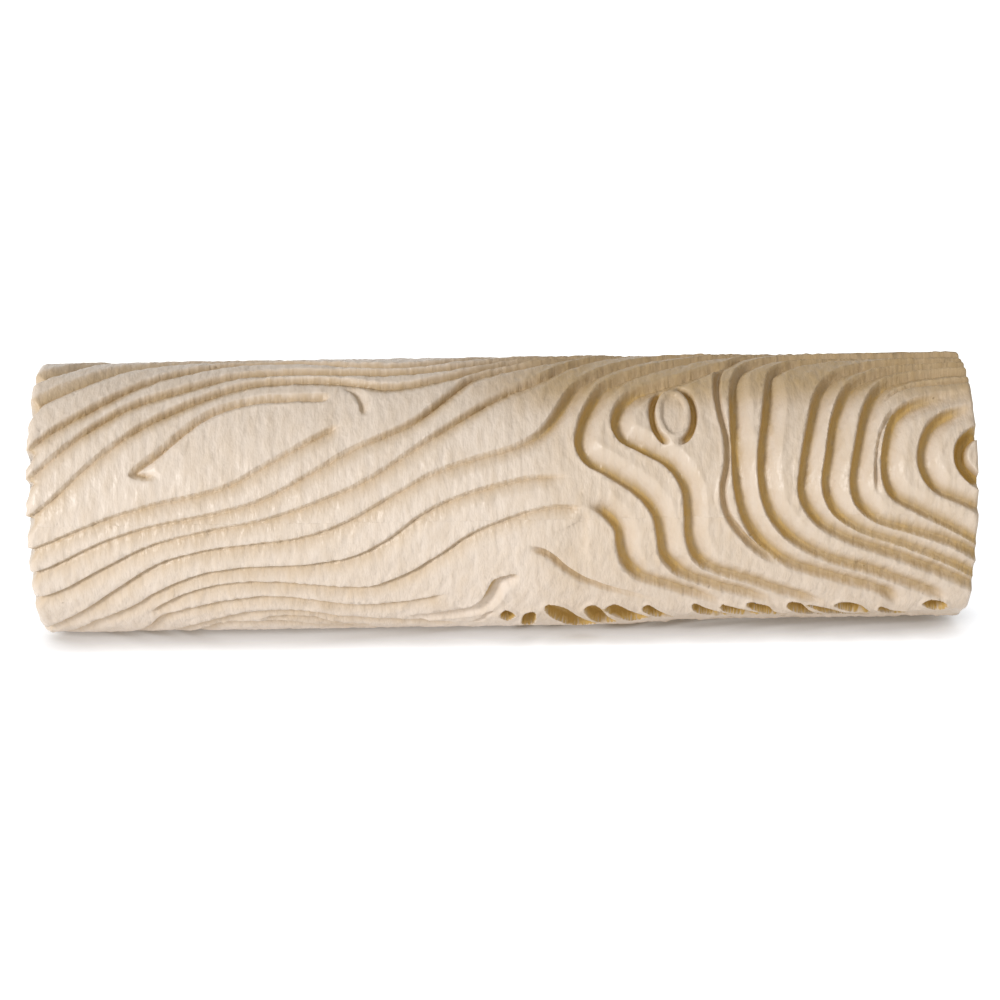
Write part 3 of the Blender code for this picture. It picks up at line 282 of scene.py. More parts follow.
# Grain edges as (kind of cut, fade in mm at the start, fade in mm at the end, points). A point is
# millimetres along the roller and degrees round it. The low side lies to the right of the run.
GRAIN_EDGES = [
    # Long sweeps that cross the left half and run over the top to the back
    ("grain", 0, 0, [(-92, 25), (-86, 39), (-77, 54), (-68, 69.5), (-60, 80.5), (-51, 89.5), (-43, 92),
                     (-35, 90), (-28, 86), (-21, 84), (-14.5, 86.3), (-8, 93), (0, 103), (12, 114),
                     (28, 125), (48, 133), (68, 138), (92, 142)]),
    ("grain", 0, 0, [(-92, 13), (-85, 27.5), (-76, 45), (-68, 57), (-60, 65), (-51, 74.6), (-42, 78),
                     (-30, 77.3), (-20, 76.4), (-12, 79.8), (-4, 86.5), (5, 98), (18, 110), (36, 120),
                     (58, 127), (92, 133)]),
    ("grain", 0, 0, [(-92, -1), (-85, 10), (-77, 26.5), (-68, 43), (-60, 54), (-51, 64.5), (-45, 68.8),
                     (-37, 70), (-30, 68.5), (-22, 64.7), (-16.5, 66), (-9, 73), (0, 84), (9, 95),
                     (22, 105), (42, 114), (64, 120), (92, 125)]),
    ("grain", 0, 4, [(-92, -13), (-85, -6.8), (-75, 2.3), (-65, 9), (-55, 13.8), (-50, 17.7), (-44, 25.3),
                     (-37, 34.3), (-30, 43.5)]),
    ("grain", 0, 0, [(-92, -24), (-85, -18), (-75, -7), (-65, 0), (-55, 4.3), (-45, 10.3), (-37, 19.7),
                     (-28, 31.5), (-20, 39.7), (-15, 47), (-10.5, 57.5), (-6, 69), (-1, 76), (8, 86),
                     (15, 95.5), (28, 105), (46, 110.5), (68, 114.5), (92, 117)]),
    ("grain", 0, 0, [(-92, -37.5), (-84, -31), (-75, -19), (-66, -8.8), (-55, -2.5), (-45, 1.7), (-35, 8.8),
                     (-25, 18.5), (-16, 32), (-8, 45), (0, 58), (7, 69), (12, 80), (18, 90), (27, 99),
                     (42, 105), (62, 108.5), (92, 110.5)]),
    ("grain", 0, 0, [(-92, -68), (-86.8, -58), (-80, -44), (-72, -28.5), (-65, -17.7), (-57, -12),
                     (-47, -8.9), (-38, -6.3), (-30, -0.3), (-20, 12), (-13, 20.5), (-5, 26.7), (2, 31.3),
                     (7, 38.5), (10, 48.5), (13, 61), (17.5, 72), (24, 83), (33, 93), (45, 99.5),
                     (65, 103), (92, 104.5)]),
    ("fine", 0, 6, [(-92, -84), (-84, -68), (-78, -53), (-70, -40.5), (-65, -31.5), (-57, -23), (-49, -20),
                    (-38, -19), (-29, -15.8), (-22, -8), (-15, 3.5), (-9, 9.8), (0, 15.8), (7, 18.5),
                    (14, 18.3)]),
    ("fine", 4, 3, [(-68, -48), (-64, -39), (-58, -31.5), (-50, -27.4), (-40, -28.1), (-32, -30.4),
                    (-26, -30.9), (-19, -25), (-12, -14.7), (-6, -5.4), (0, 0.2), (7, 5), (12, 6),
                    (15.5, 5)]),
    ("grain", 0, 5, [(-92, -102), (-80, -88), (-72, -73), (-67.6, -58.5), (-65.5, -50), (-59, -42.7),
                     (-50, -37), (-43, -35.8), (-36, -38.5), (-29, -42), (-22, -41.6), (-15, -38.3),
                     (-10, -34.5)]),
    ("grain", 0, 4, [(-92, -117), (-78, -98), (-67, -78), (-60, -60), (-54, -51.5), (-48, -46.6),
                     (-41, -45.7), (-36, -47.5), (-32, -51), (-25, -54), (-16, -57.5), (-8, -62)]),
    ("grain", 3, 4, [(-47, -52.6), (-42, -51.3), (-37.5, -52), (-34, -56), (-30, -60.5), (-24, -64)]),
    ("grain", 0, 4, [(-92, -132), (-76, -112), (-64, -88), (-58, -66), (-53, -57.2), (-46, -56.3),
                     (-39.5, -58.2), (-34, -62.7), (-27, -68), (-18, -72), (-8, -78)]),
    # The long eye on the left and its curl
    ("eye", 3, 2, [(-64, 17.8), (-67.3, 18.4), (-69.8, 20.6), (-68.8, 24.4), (-65, 31), (-59.5, 42.5),
                   (-55, 50.5), (-50, 55.5), (-45, 58), (-39, 58.8), (-31.8, 58.8)]),
    ("faint", 2, 2, [(-26.6, 45), (-26.8, 51), (-28, 57.5), (-30.5, 62)]),
    # Edges over the upper left corner
    ("shoulder", 0, 8, [(-92, 54), (-88.3, 60), (-83.3, 68), (-78.9, 75.6), (-74.8, 84), (-69, 92),
                        (-61, 98), (-51, 101), (-40, 101)]),
    ("shoulder", 0, 8, [(-92, 76), (-88, 80.5), (-85, 86), (-82, 94.5), (-77.5, 102), (-71, 106.5),
                        (-63, 108.5)]),
    # Humps below the middle
    ("hump", 5, 3, [(-19, -52), (-12, -48.3), (-7, -45.4), (-4.6, -41), (-3.2, -34), (-2, -28), (0.3, -25.2),
                    (3.5, -25)]),
    ("slim", 2, 1.5, [(-7, -62), (-4.8, -56.5), (-3.8, -51.5), (-2, -48)]),
    ("brush", 22, 4, [(33, -47.5), (27, -41.7), (20, -35.6), (14.5, -29.7), (11, -23.5), (8, -17), (4, -13)]),
    ("grain", 8, 5, [(43, -47.5), (37, -41), (30, -33.5), (25, -28.5), (22.2, -21.5), (21, -12), (20.6, -5),
                     (19, -0.3), (16.7, 4), (14.5, 6.3)]),
    ("step_up", 2, 4, [(14, 5), (16.2, 1.5), (16, -7), (15.8, -14), (17.2, -20)]),
    # Rings that bend round the knot
    ("grain", 8, 0, [(53, -47.5), (46, -40.3), (38, -33), (32, -25.5), (29.2, -17), (28.5, -7), (27.5, 1.7),
                     (24.5, 9.7), (19, 18), (15.2, 23.2), (13.5, 31), (14.2, 41.5), (16.2, 52.5),
                     (19.3, 63.5), (25, 72.5), (32, 81), (38, 87.5), (46, 94), (60, 98), (92, 99.3)]),
    ("grain", 8, 7, [(63, -49), (55, -41.5), (46, -32), (39.5, -26), (35.8, -20), (34, -10), (33.7, 1),
                     (33.2, 11.5), (30.6, 20.8), (25.5, 27.6), (21.8, 32.6), (20.4, 40), (21.3, 49.5),
                     (24.5, 58.3), (30.5, 64.5), (35.5, 70), (40, 76), (46, 83)]),
    # Rings that bend round the half knot at the right end
    ("groove", 5, 0, [(52.5, -24), (47.5, -16.3), (43.5, -7), (41, 2), (40.4, 11), (41.3, 23), (41.4, 32),
                      (40.4, 45), (40.1, 58), (41, 71), (43.6, 80), (48, 87.5), (58, 93), (72, 95),
                      (92, 95.8)]),
    ("grain", 5, 0, [(75.5, -50), (71, -39.3), (63, -31.8), (54, -23.7), (48.5, -14.8), (44.7, -2.5),
                     (43, 12), (42.7, 30), (42.8, 48), (43.6, 64), (46, 76), (52, 85), (62, 89.7),
                     (76, 91.5), (92, 92)]),
    ("grain", 5, 0, [(85, -47), (79, -38.7), (70, -28.5), (60, -20), (53, -10), (49.5, -0.5), (47.8, 11),
                     (47.6, 25), (48.6, 41), (49.8, 58), (51, 70), (55, 79), (62, 84.5), (73, 87.5),
                     (92, 88.5)]),
    ("grain", 0, 0, [(92, -43), (84, -31.5), (74, -20.5), (64, -11.5), (58, -3), (55.1, 8), (55.5, 22),
                     (57, 38), (59, 54.5), (62.5, 67), (69, 76), (78, 81), (92, 84)]),
    ("grain", 0, 0, [(92, -40), (85.5, -27), (76, -16), (67, -8.3), (61.3, 1), (59.5, 12), (60.4, 27),
                     (62, 44), (65, 58.5), (70.5, 69), (79, 75.5), (92, 78)]),
    ("grain", 0, 0, [(92, -28), (85, -15.8), (77, -9), (69.5, -3.4), (65.7, 4.3), (64.7, 13), (66, 31),
                     (68, 47.5), (71.5, 60.5), (78, 68), (92, 71.5)]),
    ("slim", 4, 3, [(69.6, 7), (69.3, 18), (70.3, 33.5), (72.4, 43), (74.5, 48)]),
    ("slim", 3, 0, [(70.6, 47), (73, 55), (78, 60.2), (84, 61.6), (92, 64.5)]),
    ("grain", 0, 18, [(92, -21), (85, -9.2), (77, 0.8), (72, 7.8), (70.6, 17), (71.2, 31), (73.2, 43.5),
                      (76, 49), (79, 52), (85, 55), (92, 57)]),
    ("grain", 0, 10, [(92, -4), (86, 3.3), (80, 10), (77.6, 19), (77.9, 30), (80.3, 40), (83.5, 45),
                      (88, 48), (92, 49.5)]),
    ("notch", 0, 0, [(92, 6.5), (87, 12.7), (84.6, 20), (84.6, 28), (86.8, 35), (92, 40)]),
    # Gouges that run from below the pockets to the back
    ("gouge", 0, 5, [(92, -133), (66, -129), (38, -120), (16, -106), (4, -90), (1.5, -78)]),
    ("gouge", 0, 5, [(92, -128), (60, -121), (32, -111), (14, -97), (7, -82)]),
    ("trench", 0, 5, [(92, -123), (48, -110), (28, -98), (18.5, -80)]),
    ("gouge", 0, 5, [(92, -115), (58, -105), (38, -95), (26, -80)]),
    ("gouge", 0, 5, [(92, -106), (75, -101), (56, -94), (40, -84), (33, -76)]),
    ("gouge", 0, 5, [(92, -98), (66, -90), (50, -82), (42, -73)]),
    ("gouge", 0, 5, [(92, -91), (76, -86), (62, -79), (52, -70)]),
    ("gouge", 0, 5, [(92, -82), (78, -76), (66, -69)]),
    # Back: lines that part round a long eye and a second knot
    ("grain", 0, 0, [(-92, 140), (-84, 128), (-70, 118), (-50, 111), (-30, 110), (-14, 114), (0, 123),
                     (14, 135), (30, 144), (50, 147.5), (70, 149), (92, 151)]),
    ("grain", 0, 0, [(-92, 185), (-82, 195), (-66, 205), (-45, 209.5), (-25, 208), (-8, 204), (8, 208),
                     (26, 219), (46, 222), (68, 216), (92, 210)]),
    ("grain", 0, 0, [(-92, 209), (-75, 220), (-50, 226.5), (-25, 226), (-2, 222), (18, 228), (40, 233),
                     (66, 226), (92, 219)]),
    ("grain", 4, 4, [(-62, 259), (-48, 248), (-32, 243), (-16, 245), (-5, 253)]),
    ("grain", 4, 4, [(-50, 272), (-40, 262), (-26, 258), (-13, 262), (-7, 270)]),
    ("grain", 0, 0, [(92, 202), (68, 208), (48, 211.5), (34, 206), (26, 195), (24, 182), (28, 169),
                     (38, 160), (55, 157), (92, 160)]),
    ("grain", 0, 0, [(92, 192), (70, 197), (54, 201), (41, 197), (34, 186), (36, 174), (44, 167), (60, 165),
                     (92, 169)]),
]
# Almond pockets in a row below the front: outlines in mm and degrees, run clockwise from their tips
POCKETS = [
    [(2.2, -53), (0.7, -57.8), (-0.4, -55), (-0.5, -50.7), (0.4, -47.6), (1.6, -49.8)],
    [(6.2, -52.5), (5.3, -66), (3.9, -66), (3.6, -56.7), (4.3, -50.6), (5.6, -49.4)],
    [(18, -65.5), (14.5, -70), (11.1, -61.4), (8.1, -48.9), (8.2, -43.8), (11.4, -46), (14.5, -55.3)],
    [(21.8, -62), (18.9, -63.8), (16.9, -58.2), (15.5, -47.1), (16.9, -44.3), (18.3, -47), (20.1, -55.8)],
    [(28, -56.6), (25.2, -61.8), (22, -56.5), (19.5, -47.5), (21.1, -44.1), (23.8, -49.1)],
    [(32.5, -57.1), (29.3, -56), (26.5, -48.5), (27.3, -44.8), (30, -51)],
    [(43.6, -55), (40.2, -55.8), (36.4, -50.3), (36.2, -44.3), (39, -48.8)],
    [(49.7, -54.4), (46.5, -55.2), (42, -50.6), (41.6, -45.9), (45, -49.2)],
    [(54.6, -56), (51, -54.8), (46.8, -48), (46.4, -44.6), (50.4, -47.3), (51.8, -52.5)],
    [(64.6, -62.5), (59.6, -58.3), (54.3, -49), (54.4, -44.5), (56.4, -45.2), (58.8, -52.8)],
    [(70.8, -56.4), (67, -60.4), (61.6, -54), (58, -46.8), (62.4, -50.6), (66, -55.4)],
    [(70.3, -54.5), (66.5, -53.2), (63.2, -47.5), (64.4, -45), (67.6, -46.8)],
    [(77.3, -55.1), (75.6, -60), (72, -53.5), (72, -49.3), (74.5, -53.1)],
    [(84.9, -50.3), (83.2, -53), (80, -47.5), (81.4, -44.2), (84, -46.5)],
]
POCKET_DEPTH_MM = 2.2
POCKET_WALL_MM = 0.5
POCKET_LIP_MM = 0.4
# Closed rings on the back: centre in mm and degrees, half width in mm, half height in degrees
BACK_RINGS = [
    ("grain", (-38, 160), (42, 37)),
    ("grain", (-37, 160), (29, 26)),
    ("grain", (-35, 161), (17, 15)),
    ("faint", (-34, 162), (7, 6)),
    ("grain", (52, 182), (8, 12)),
    ("moat", (52, 182), (4, 5.5)),
]
RING_TILT_DEGREES_PER_MM = 0.12
RING_STEPS = 24


# Grain relief

def smooth_edge(points):
    """Centripetal curve through given points, in mm on the unrolled sleeve."""
    degree_mm = math.radians(UNROLL_RADIUS_MM)
    knots = np.array(points, dtype=float)
    knots = np.vstack([2 * knots[0] - knots[1], knots, 2 * knots[-1] - knots[-2]])
    scaled = knots * np.array([1.0, degree_mm])
    pieces = []
    for index in range(1, len(knots) - 2):
        p0, p1, p2, p3 = scaled[index - 1:index + 3]
        t1 = math.sqrt(np.linalg.norm(p1 - p0))
        t2 = t1 + math.sqrt(np.linalg.norm(p2 - p1))
        t3 = t2 + math.sqrt(np.linalg.norm(p3 - p2))
        count = max(2, int(np.linalg.norm(p2 - p1) / EDGE_STEP_MM) + 1)
        t = np.linspace(t1, t2, count, endpoint=False)[:, None]
        a1 = (t1 - t) / t1 * p0 + t / t1 * p1
        a2 = (t2 - t) / (t2 - t1) * p1 + (t - t1) / (t2 - t1) * p2
        a3 = (t3 - t) / (t3 - t2) * p2 + (t - t2) / (t3 - t2) * p3
        b1 = (t2 - t) / t2 * a1 + t / t2 * a2
        b2 = (t3 - t) / (t3 - t1) * a2 + (t - t1) / (t3 - t1) * a3
        pieces.append((t2 - t) / (t2 - t1) * b1 + (t - t1) / (t2 - t1) * b2)
    pieces.append(scaled[-2:-1])
    return np.vstack(pieces)


def ring_points(centre, half_size):
    """A slanting oval, run clockwise so that its low side is inside."""
    points = []
    for step in range(RING_STEPS + 1):
        turn = -2 * math.pi * step / RING_STEPS
        along = half_size[0] * math.cos(turn)
        round_it = half_size[1] * math.sin(turn) + RING_TILT_DEGREES_PER_MM * along
        points.append((centre[0] + along, centre[1] + round_it))
    return points


def all_edges():
    """Every grain edge as (kind of cut, fade in, fade out, curve)."""
    edges = []
    for kind, fade_in, fade_out, points in GRAIN_EDGES:
        edges.append((kind, fade_in, fade_out, smooth_edge(points)))
    for kind, centre, half_size in BACK_RINGS:
        edges.append((kind, 0, 0, smooth_edge(ring_points(centre, half_size))))
    return edges


def ease(value):
    """Smooth step from 0 to 1."""
    value = np.clip(value, 0.0, 1.0)
    return value * value * (3 - 2 * value)


def rise(value, start, end):
    """Smooth step from 0 at the start to 1 at the end."""
    return ease((value - start) / (end - start))


def half_turns(degrees):
    """The same angles between -180 and 180 degrees."""
    return (degrees + 180.0) % 360.0 - 180.0


def grain_shares(along, degrees):
    """Shares of the four cuts in plain grain, and of the lower half, over columns and rows."""
    turned = half_turns(degrees)
    back = rise(turned, BACK_FROM_DEGREES, BACK_UNTIL_DEGREES)
    upper = np.maximum(rise(turned, BROAD_FROM_DEGREES, BROAD_UNTIL_DEGREES), back)[:, None]
    thin = rise(turned, THIN_FROM_DEGREES, THIN_UNTIL_DEGREES) * (1 - back)
    right = rise(along, BOLD_FROM_MM, BOLD_UNTIL_MM)[None, :]
    top = np.maximum(rise(turned, TOP_FROM_DEGREES, TOP_UNTIL_DEGREES), back)
    bold = right * ((1 - (1 - THIN_SHARE) * thin) * (1 - (1 - TOP_SHARE) * top))[:, None]
    lower = rise(turned, LOWER_FROM_DEGREES, LOWER_UNTIL_DEGREES) * (1 - back)
    rest = 1 - bold
    return {"fine": (1 - upper) * rest, "broad": upper * (1 - right) * rest, "top": upper * right * rest,
            "bold": bold, "lower": lower[:, None]}


def cut_sizes(kind, shares, slant):
    """The sizes of a kind of cut; plain grain mixes its four cuts."""
    if kind != "grain":
        return OTHER_CUTS[kind]
    turned_along = 1 - rise(slant, SLANT_THIN, SLANT_BOLD)
    thinned = shares["bold"] * shares["lower"] * turned_along * (1 - SLANT_SHARE)
    sizes = {}
    for name in FINE_CUT:
        sizes[name] = ((shares["fine"] + thinned) * FINE_CUT[name] + shares["broad"] * BROAD_CUT[name]
                       + shares["top"] * TOP_CUT[name] + (shares["bold"] - thinned) * BOLD_CUT[name])
    return sizes


def chatter(run, number):
    """Unevenness along a cut, from -1 to 1, with its own phases for each number."""
    waves = np.zeros(run.shape)
    for order, length in enumerate(CHATTER_LENGTHS_MM):
        phase = CHATTER_EDGE_PHASE * number + CHATTER_WAVE_PHASE * order
        waves += np.sin(2 * math.pi * run / length + phase)
    return waves / len(CHATTER_LENGTHS_MM)


def wrinkles(along, turns):
    """Gentle unevenness of the moulded skin over the grid, in mm, seamless round the roller."""
    random = np.random.default_rng(WRINKLE_SEED)
    circumference = 2 * math.pi * UNROLL_RADIUS_MM
    height = np.zeros((len(turns), len(along)))
    for length in WRINKLE_LENGTHS_MM:
        for heading in random.uniform(-WRINKLE_HEADING, WRINKLE_HEADING, WRINKLES_PER_LENGTH):
            waves_round = round(circumference * math.sin(heading) / length)
            phase = random.uniform(0, 2 * math.pi)
            across = 2 * math.pi * along * math.cos(heading) / length
            round_it = 2 * math.pi * waves_round * turns / circumference
            height += np.sin(across[None, :] + round_it[:, None] + phase)
    return height * WRINKLE_MM / math.sqrt(len(WRINKLE_LENGTHS_MM) * WRINKLES_PER_LENGTH)


def shaded_top(along, degrees):
    """Share of the top on the right that gets painted shade, which makes the whole surface there darker and
    golden.
    """
    turned = half_turns(degrees)
    top = rise(turned, TOP_SHADE_FROM_DEGREES, TOP_SHADE_UNTIL_DEGREES)
    behind = rise(turned, SHADE_BACK_FROM_DEGREES, SHADE_BACK_UNTIL_DEGREES)
    right = rise(along, TOP_SHADE_FROM_MM, TOP_SHADE_UNTIL_MM)
    return (top * (1 - behind))[:, None] * right[None, :]


def undercut(along, degrees):
    """How far the surface falls away below the front on the right, in mm."""
    turned = half_turns(degrees)
    below = rise(turned, UNDERCUT_FROM_DEGREES, UNDERCUT_UNTIL_DEGREES)
    behind = rise(turned, UNDERCUT_BACK_FROM_DEGREES, UNDERCUT_BACK_UNTIL_DEGREES)
    right = rise(along, UNDERCUT_FROM_MM, UNDERCUT_UNTIL_MM)
    return UNDERCUT_MM * (below * (1 - behind))[:, None] * right[None, :]


def knot(along, turns):
    """Height of the knot's rim and fall of its middle in mm, and how deep in its moat (0 to 1)."""
    dx = (along - KNOT_CENTRE[0])[None, :] / KNOT_HALF_SIZE_MM[0]
    dy = (turns - math.radians(KNOT_CENTRE[1]) * UNROLL_RADIUS_MM)[:, None] / KNOT_HALF_SIZE_MM[1]
    out = np.maximum(np.hypot(dx, dy), KNOT_LEAST_OUT)
    gap = (out - 1) * out / np.hypot(dx / KNOT_HALF_SIZE_MM[0], dy / KNOT_HALF_SIZE_MM[1])
    rim = KNOT_RIM_HEIGHT_MM * (1 - ease((np.abs(gap) - KNOT_RIM_HALF_MM) / KNOT_RIM_SOFT_MM))
    sunk = KNOT_DIP_MM * ease((-gap - KNOT_RIM_HALF_MM) / KNOT_RIM_SOFT_MM)
    side = rise(np.abs(dx) / out, KNOT_MOAT_SIDE_FROM, KNOT_MOAT_SIDE_UNTIL)
    begun = ease((gap - KNOT_MOAT_FROM_MM) / KNOT_MOAT_WALL_MM)
    ended = 1 - ease((gap - KNOT_MOAT_UNTIL_MM) / KNOT_MOAT_WALL_MM)
    return rim, sunk, side * begun * ended


def hatching(along, turns):
    """Fine ribs down the walls of the cuts, in mm."""
    ribs = np.zeros((len(turns), len(along)))
    for order, length in enumerate(HATCH_LENGTHS_MM):
        sway = HATCH_SWAY * np.sin(turns / HATCH_SWAY_LENGTH_MM + HATCH_SWAY_PHASE * order)
        ribs += np.sin(2 * math.pi * along[None, :] / length + sway[:, None] + HATCH_PHASE * order)
    return ribs * HATCH_MM / len(HATCH_LENGTHS_MM)


def distance_to_edge(along, turns, curve):
    """Signed distance (low side positive), run and slant of a curve over a grid, near the curve only.

    along holds the columns and turns the rows of the grid, both in mm on the unrolled sleeve.
    """
    circumference = 2 * math.pi * UNROLL_RADIUS_MM
    tangents = np.gradient(curve, axis=0)
    slants = np.abs(tangents[:, 1]) / np.maximum(np.hypot(tangents[:, 0], tangents[:, 1]), LEAST_STEP_MM)
    nearest = np.full((len(turns), len(along)), 2 * REACH_MM)
    signed = np.full(nearest.shape, 2 * REACH_MM)
    run = np.zeros(nearest.shape)
    slant = np.zeros(nearest.shape)
    travelled = 0.0
    for index in range(len(curve) - 1):
        start = curve[index]
        step = curve[index + 1] - start
        length = math.hypot(step[0], step[1])
        if length == 0:
            continue
        dx = along - start[0]
        dy = turns - start[1]
        dy = dy - circumference * np.round(dy / circumference)
        columns = np.nonzero((dx > min(0, step[0]) - REACH_MM) & (dx < max(0, step[0]) + REACH_MM))[0]
        rows = np.nonzero((dy > min(0, step[1]) - REACH_MM) & (dy < max(0, step[1]) + REACH_MM))[0]
        window = np.ix_(rows, columns)
        dx = dx[columns][None, :]
        dy = dy[rows][:, None]
        part = np.clip((dx * step[0] + dy * step[1]) / length ** 2, 0.0, 1.0)
        gap = np.hypot(dx - part * step[0], dy - part * step[1])
        closer = gap < nearest[window]
        side = np.where(step[1] * dx - step[0] * dy >= 0, 1.0, -1.0)
        here = slants[index] + part * (slants[index + 1] - slants[index])
        nearest[window] = np.where(closer, gap, nearest[window])
        signed[window] = np.where(closer, gap * side, signed[window])
        run[window] = np.where(closer, travelled + part * length, run[window])
        slant[window] = np.where(closer, here, slant[window])
        travelled += length
    return signed, run, slant, travelled


def pocket_gap(along, turns, outline):
    """Distance from a closed outline over a grid, positive inside it."""
    curve = smooth_edge(outline + outline[:1])
    gap = np.abs(distance_to_edge(along, turns, curve)[0])
    inside = np.zeros(gap.shape, bool)
    for (x0, y0), (x1, y1) in zip(curve[:-1], curve[1:]):
        if y0 != y1:
            rows = (turns >= min(y0, y1)) & (turns < max(y0, y1))
            crossing = x0 + (x1 - x0) * (turns - y0) / (y1 - y0)
            inside ^= rows[:, None] & (along[None, :] < crossing[:, None])
    return np.where(inside, gap, -gap)


def fading(run, length, fade_in, fade_out):
    """What the fades at a cut's two ends leave of it, from 0 to 1."""
    share = np.ones(run.shape)
    if fade_in:
        share = share * ease(run / fade_in)
    if fade_out:
        share = share * ease((length - run) / fade_out)
    return share


def cut_depth(signed, past, sizes, strength):
    """Depth of a cut in mm, without its groove: down the wall, over the floor and up the ramp."""
    fallen = np.clip(signed / sizes["wall"], 0.0, 1.0)
    crisp = 1 - (1 - fallen) ** CREST_SHARPNESS
    falling = crisp + sizes["roll"] * (fallen ** 2 - crisp)
    left = (1 - sizes["step"] * ease(past / STEP_WIDTH_MM)) * (1 - ease(past / sizes["ramp"]))
    return strength * falling * left * sizes["depth"]


def cut_shade(signed, past, sizes, strength):
    """Painted shade of a cut, from 0 to 1: full on the wall and the floor, fading along the ramp."""
    full = RECESS_SHADE * np.minimum(sizes["depth"] / SHADE_FULL_DEPTH_MM, 1.0)
    full = strength * (full + (1 - RECESS_SHADE) * ease((sizes["depth"] - BOLD_CUT["depth"]) / DEEP_SHADE_MM))
    begun = ease(signed / SHADE_START_MM)
    begun = begun + sizes["roll"] * (np.clip(signed / sizes["wall"], 0.0, 1.0) - begun)
    ended = (1 - np.clip(past / (sizes["shade_share"] * sizes["ramp"]), 0.0, 1.0)) ** SHADE_FADE
    return full * begun * ended


def lip_share(signed):
    """Height of a lip on the high side of an edge, from 0 to 1."""
    return np.where(signed <= 0, ease(1 + signed / LIP_WIDTH_MM), 0.0)


def raise_layer(layers, name, value):
    """Keeps the larger of a layer and a new value, point by point."""
    layers[name] = np.maximum(layers[name], value)


def carve_edge(layers, along, turns, shares, number, edge):
    """Adds a grain edge to the layers of the relief."""
    kind, fade_in, fade_out, curve = edge
    signed, run, slant, length = distance_to_edge(along, turns, curve)
    sizes = cut_sizes(kind, shares, slant)
    uneven = np.maximum(1 - sizes["depth"] / BOLD_CUT["depth"], 0.0)
    signed = signed + sizes["lead"] + EDGE_WANDER_MM * uneven * chatter(run, number)
    strength = 1 + CHATTER_SHARE * uneven * chatter(run, number + CHATTER_SHIFT)
    faded = fading(run, length, fade_in, fade_out)
    strength = strength * faded
    past = signed - sizes["wall"] - sizes["floor"] * faded
    groove = strength * np.exp(-((signed - sizes["wall"]) / GROOVE_WIDTH_MM) ** 2) * sizes["groove"]
    # Painted shade of this cut: on its wall, groove and floor, fading up the ramp
    shade_share = np.maximum(cut_shade(signed, past, sizes, strength), groove / SHADE_FULL_GROOVE_MM)
    brim = ease(1 - np.abs(past - sizes["ramp"]) / BRIM_WIDTH_MM)
    raise_layer(layers, "depth", cut_depth(signed, past, sizes, strength) + groove)
    raise_layer(layers, "recess", shade_share)
    raise_layer(layers, "ribbed", shade_share * (1 - slant))
    raise_layer(layers, "lift", strength * lip_share(signed) * sizes["lip"])
    raise_layer(layers, "lift", strength * brim * sizes["brim"])


def carve_pocket(layers, along, turns, outline):
    """Adds an almond pocket to the layers of the relief."""
    gap = pocket_gap(along, turns, outline)
    fallen = np.clip(gap / POCKET_WALL_MM, 0.0, 1.0)
    raise_layer(layers, "depth", POCKET_DEPTH_MM * (1 - (1 - fallen) ** CREST_SHARPNESS))
    # Painted deep shade fills the pocket
    raise_layer(layers, "recess", ease(1 + gap / SHADE_START_MM))
    raise_layer(layers, "lift", POCKET_LIP_MM * lip_share(gap))


def relief(along, degrees):
    """Height against the land in mm, and painted shade (0 to 1), over a grid of the sleeve."""
    turns = np.radians(degrees) * UNROLL_RADIUS_MM
    shares = grain_shares(along, degrees)
    layers = {}
    for name in ("depth", "lift", "recess", "ribbed"):
        layers[name] = np.zeros((len(turns), len(along)))
    for number, edge in enumerate(all_edges()):
        carve_edge(layers, along, turns, shares, number, edge)
    for outline in POCKETS:
        carve_pocket(layers, along, turns, outline)
    rim, sunk, moat = knot(along, turns)
    raise_layer(layers, "depth", sunk + KNOT_MOAT_DEPTH_MM * moat)
    # Painted shade in the knot's moat
    raise_layer(layers, "recess", KNOT_MOAT_SHADE * moat)
    recess = np.clip(layers["recess"], 0.0, 1.0)
    height = np.maximum(layers["lift"] * (1 - ease(2 * layers["depth"])), rim) - layers["depth"]
    height -= layers["ribbed"] * hatching(along, turns)
    # Painted shade over the top on the right
    recess = np.maximum(recess, TOP_SHADE * shaded_top(along, degrees))
    # Painted shade over the land of the bold grain
    recess = np.maximum(recess, BOLD_SHADE * shares["bold"])
    return height + wrinkles(along, turns) - undercut(along, degrees), recess


def end_rounding(along):
    """Drop of the surface towards the two ends, in mm."""
    drop = np.zeros(along.shape)
    for side, size in ((-1, LEFT_ROUNDING_MM), (1, RIGHT_ROUNDING_MM)):
        into = np.clip((side * along - (HALF_LENGTH_MM - size)) / size, 0.0, 1.0)
        drop = np.maximum(drop, size * (1 - np.sqrt(1 - into ** 2)))
    return drop


def grid_rows():
    """Angles of the rows in degrees: close together on the front, wider on the back."""
    degree_mm = math.radians(UNROLL_RADIUS_MM)
    front = FRONT_UNTIL_DEGREES - FRONT_FROM_DEGREES
    front_rows = int(front * degree_mm / GRID_FRONT_MM)
    back_rows = int((360 - front) * degree_mm / GRID_BACK_MM)
    first = FRONT_FROM_DEGREES + front * np.arange(front_rows) / front_rows
    second = FRONT_UNTIL_DEGREES + (360 - front) * np.arange(back_rows) / back_rows
    return np.concatenate([first, second])


def grid_columns():
    """Places of the outer columns along the roller, in mm, crowded together in the end roundings."""
    count = int(2 * HALF_LENGTH_MM / GRID_ALONG_MM)
    middle = np.linspace(-HALF_LENGTH_MM + LEFT_ROUNDING_MM, HALF_LENGTH_MM - RIGHT_ROUNDING_MM, count)
    turn = np.linspace(0, math.pi / 2, ROUNDING_STEPS)[1:]
    left = -HALF_LENGTH_MM + LEFT_ROUNDING_MM * (1 - np.sin(turn))
    right = HALF_LENGTH_MM - RIGHT_ROUNDING_MM * (1 - np.sin(turn))
    return np.concatenate([left[::-1], middle, right])


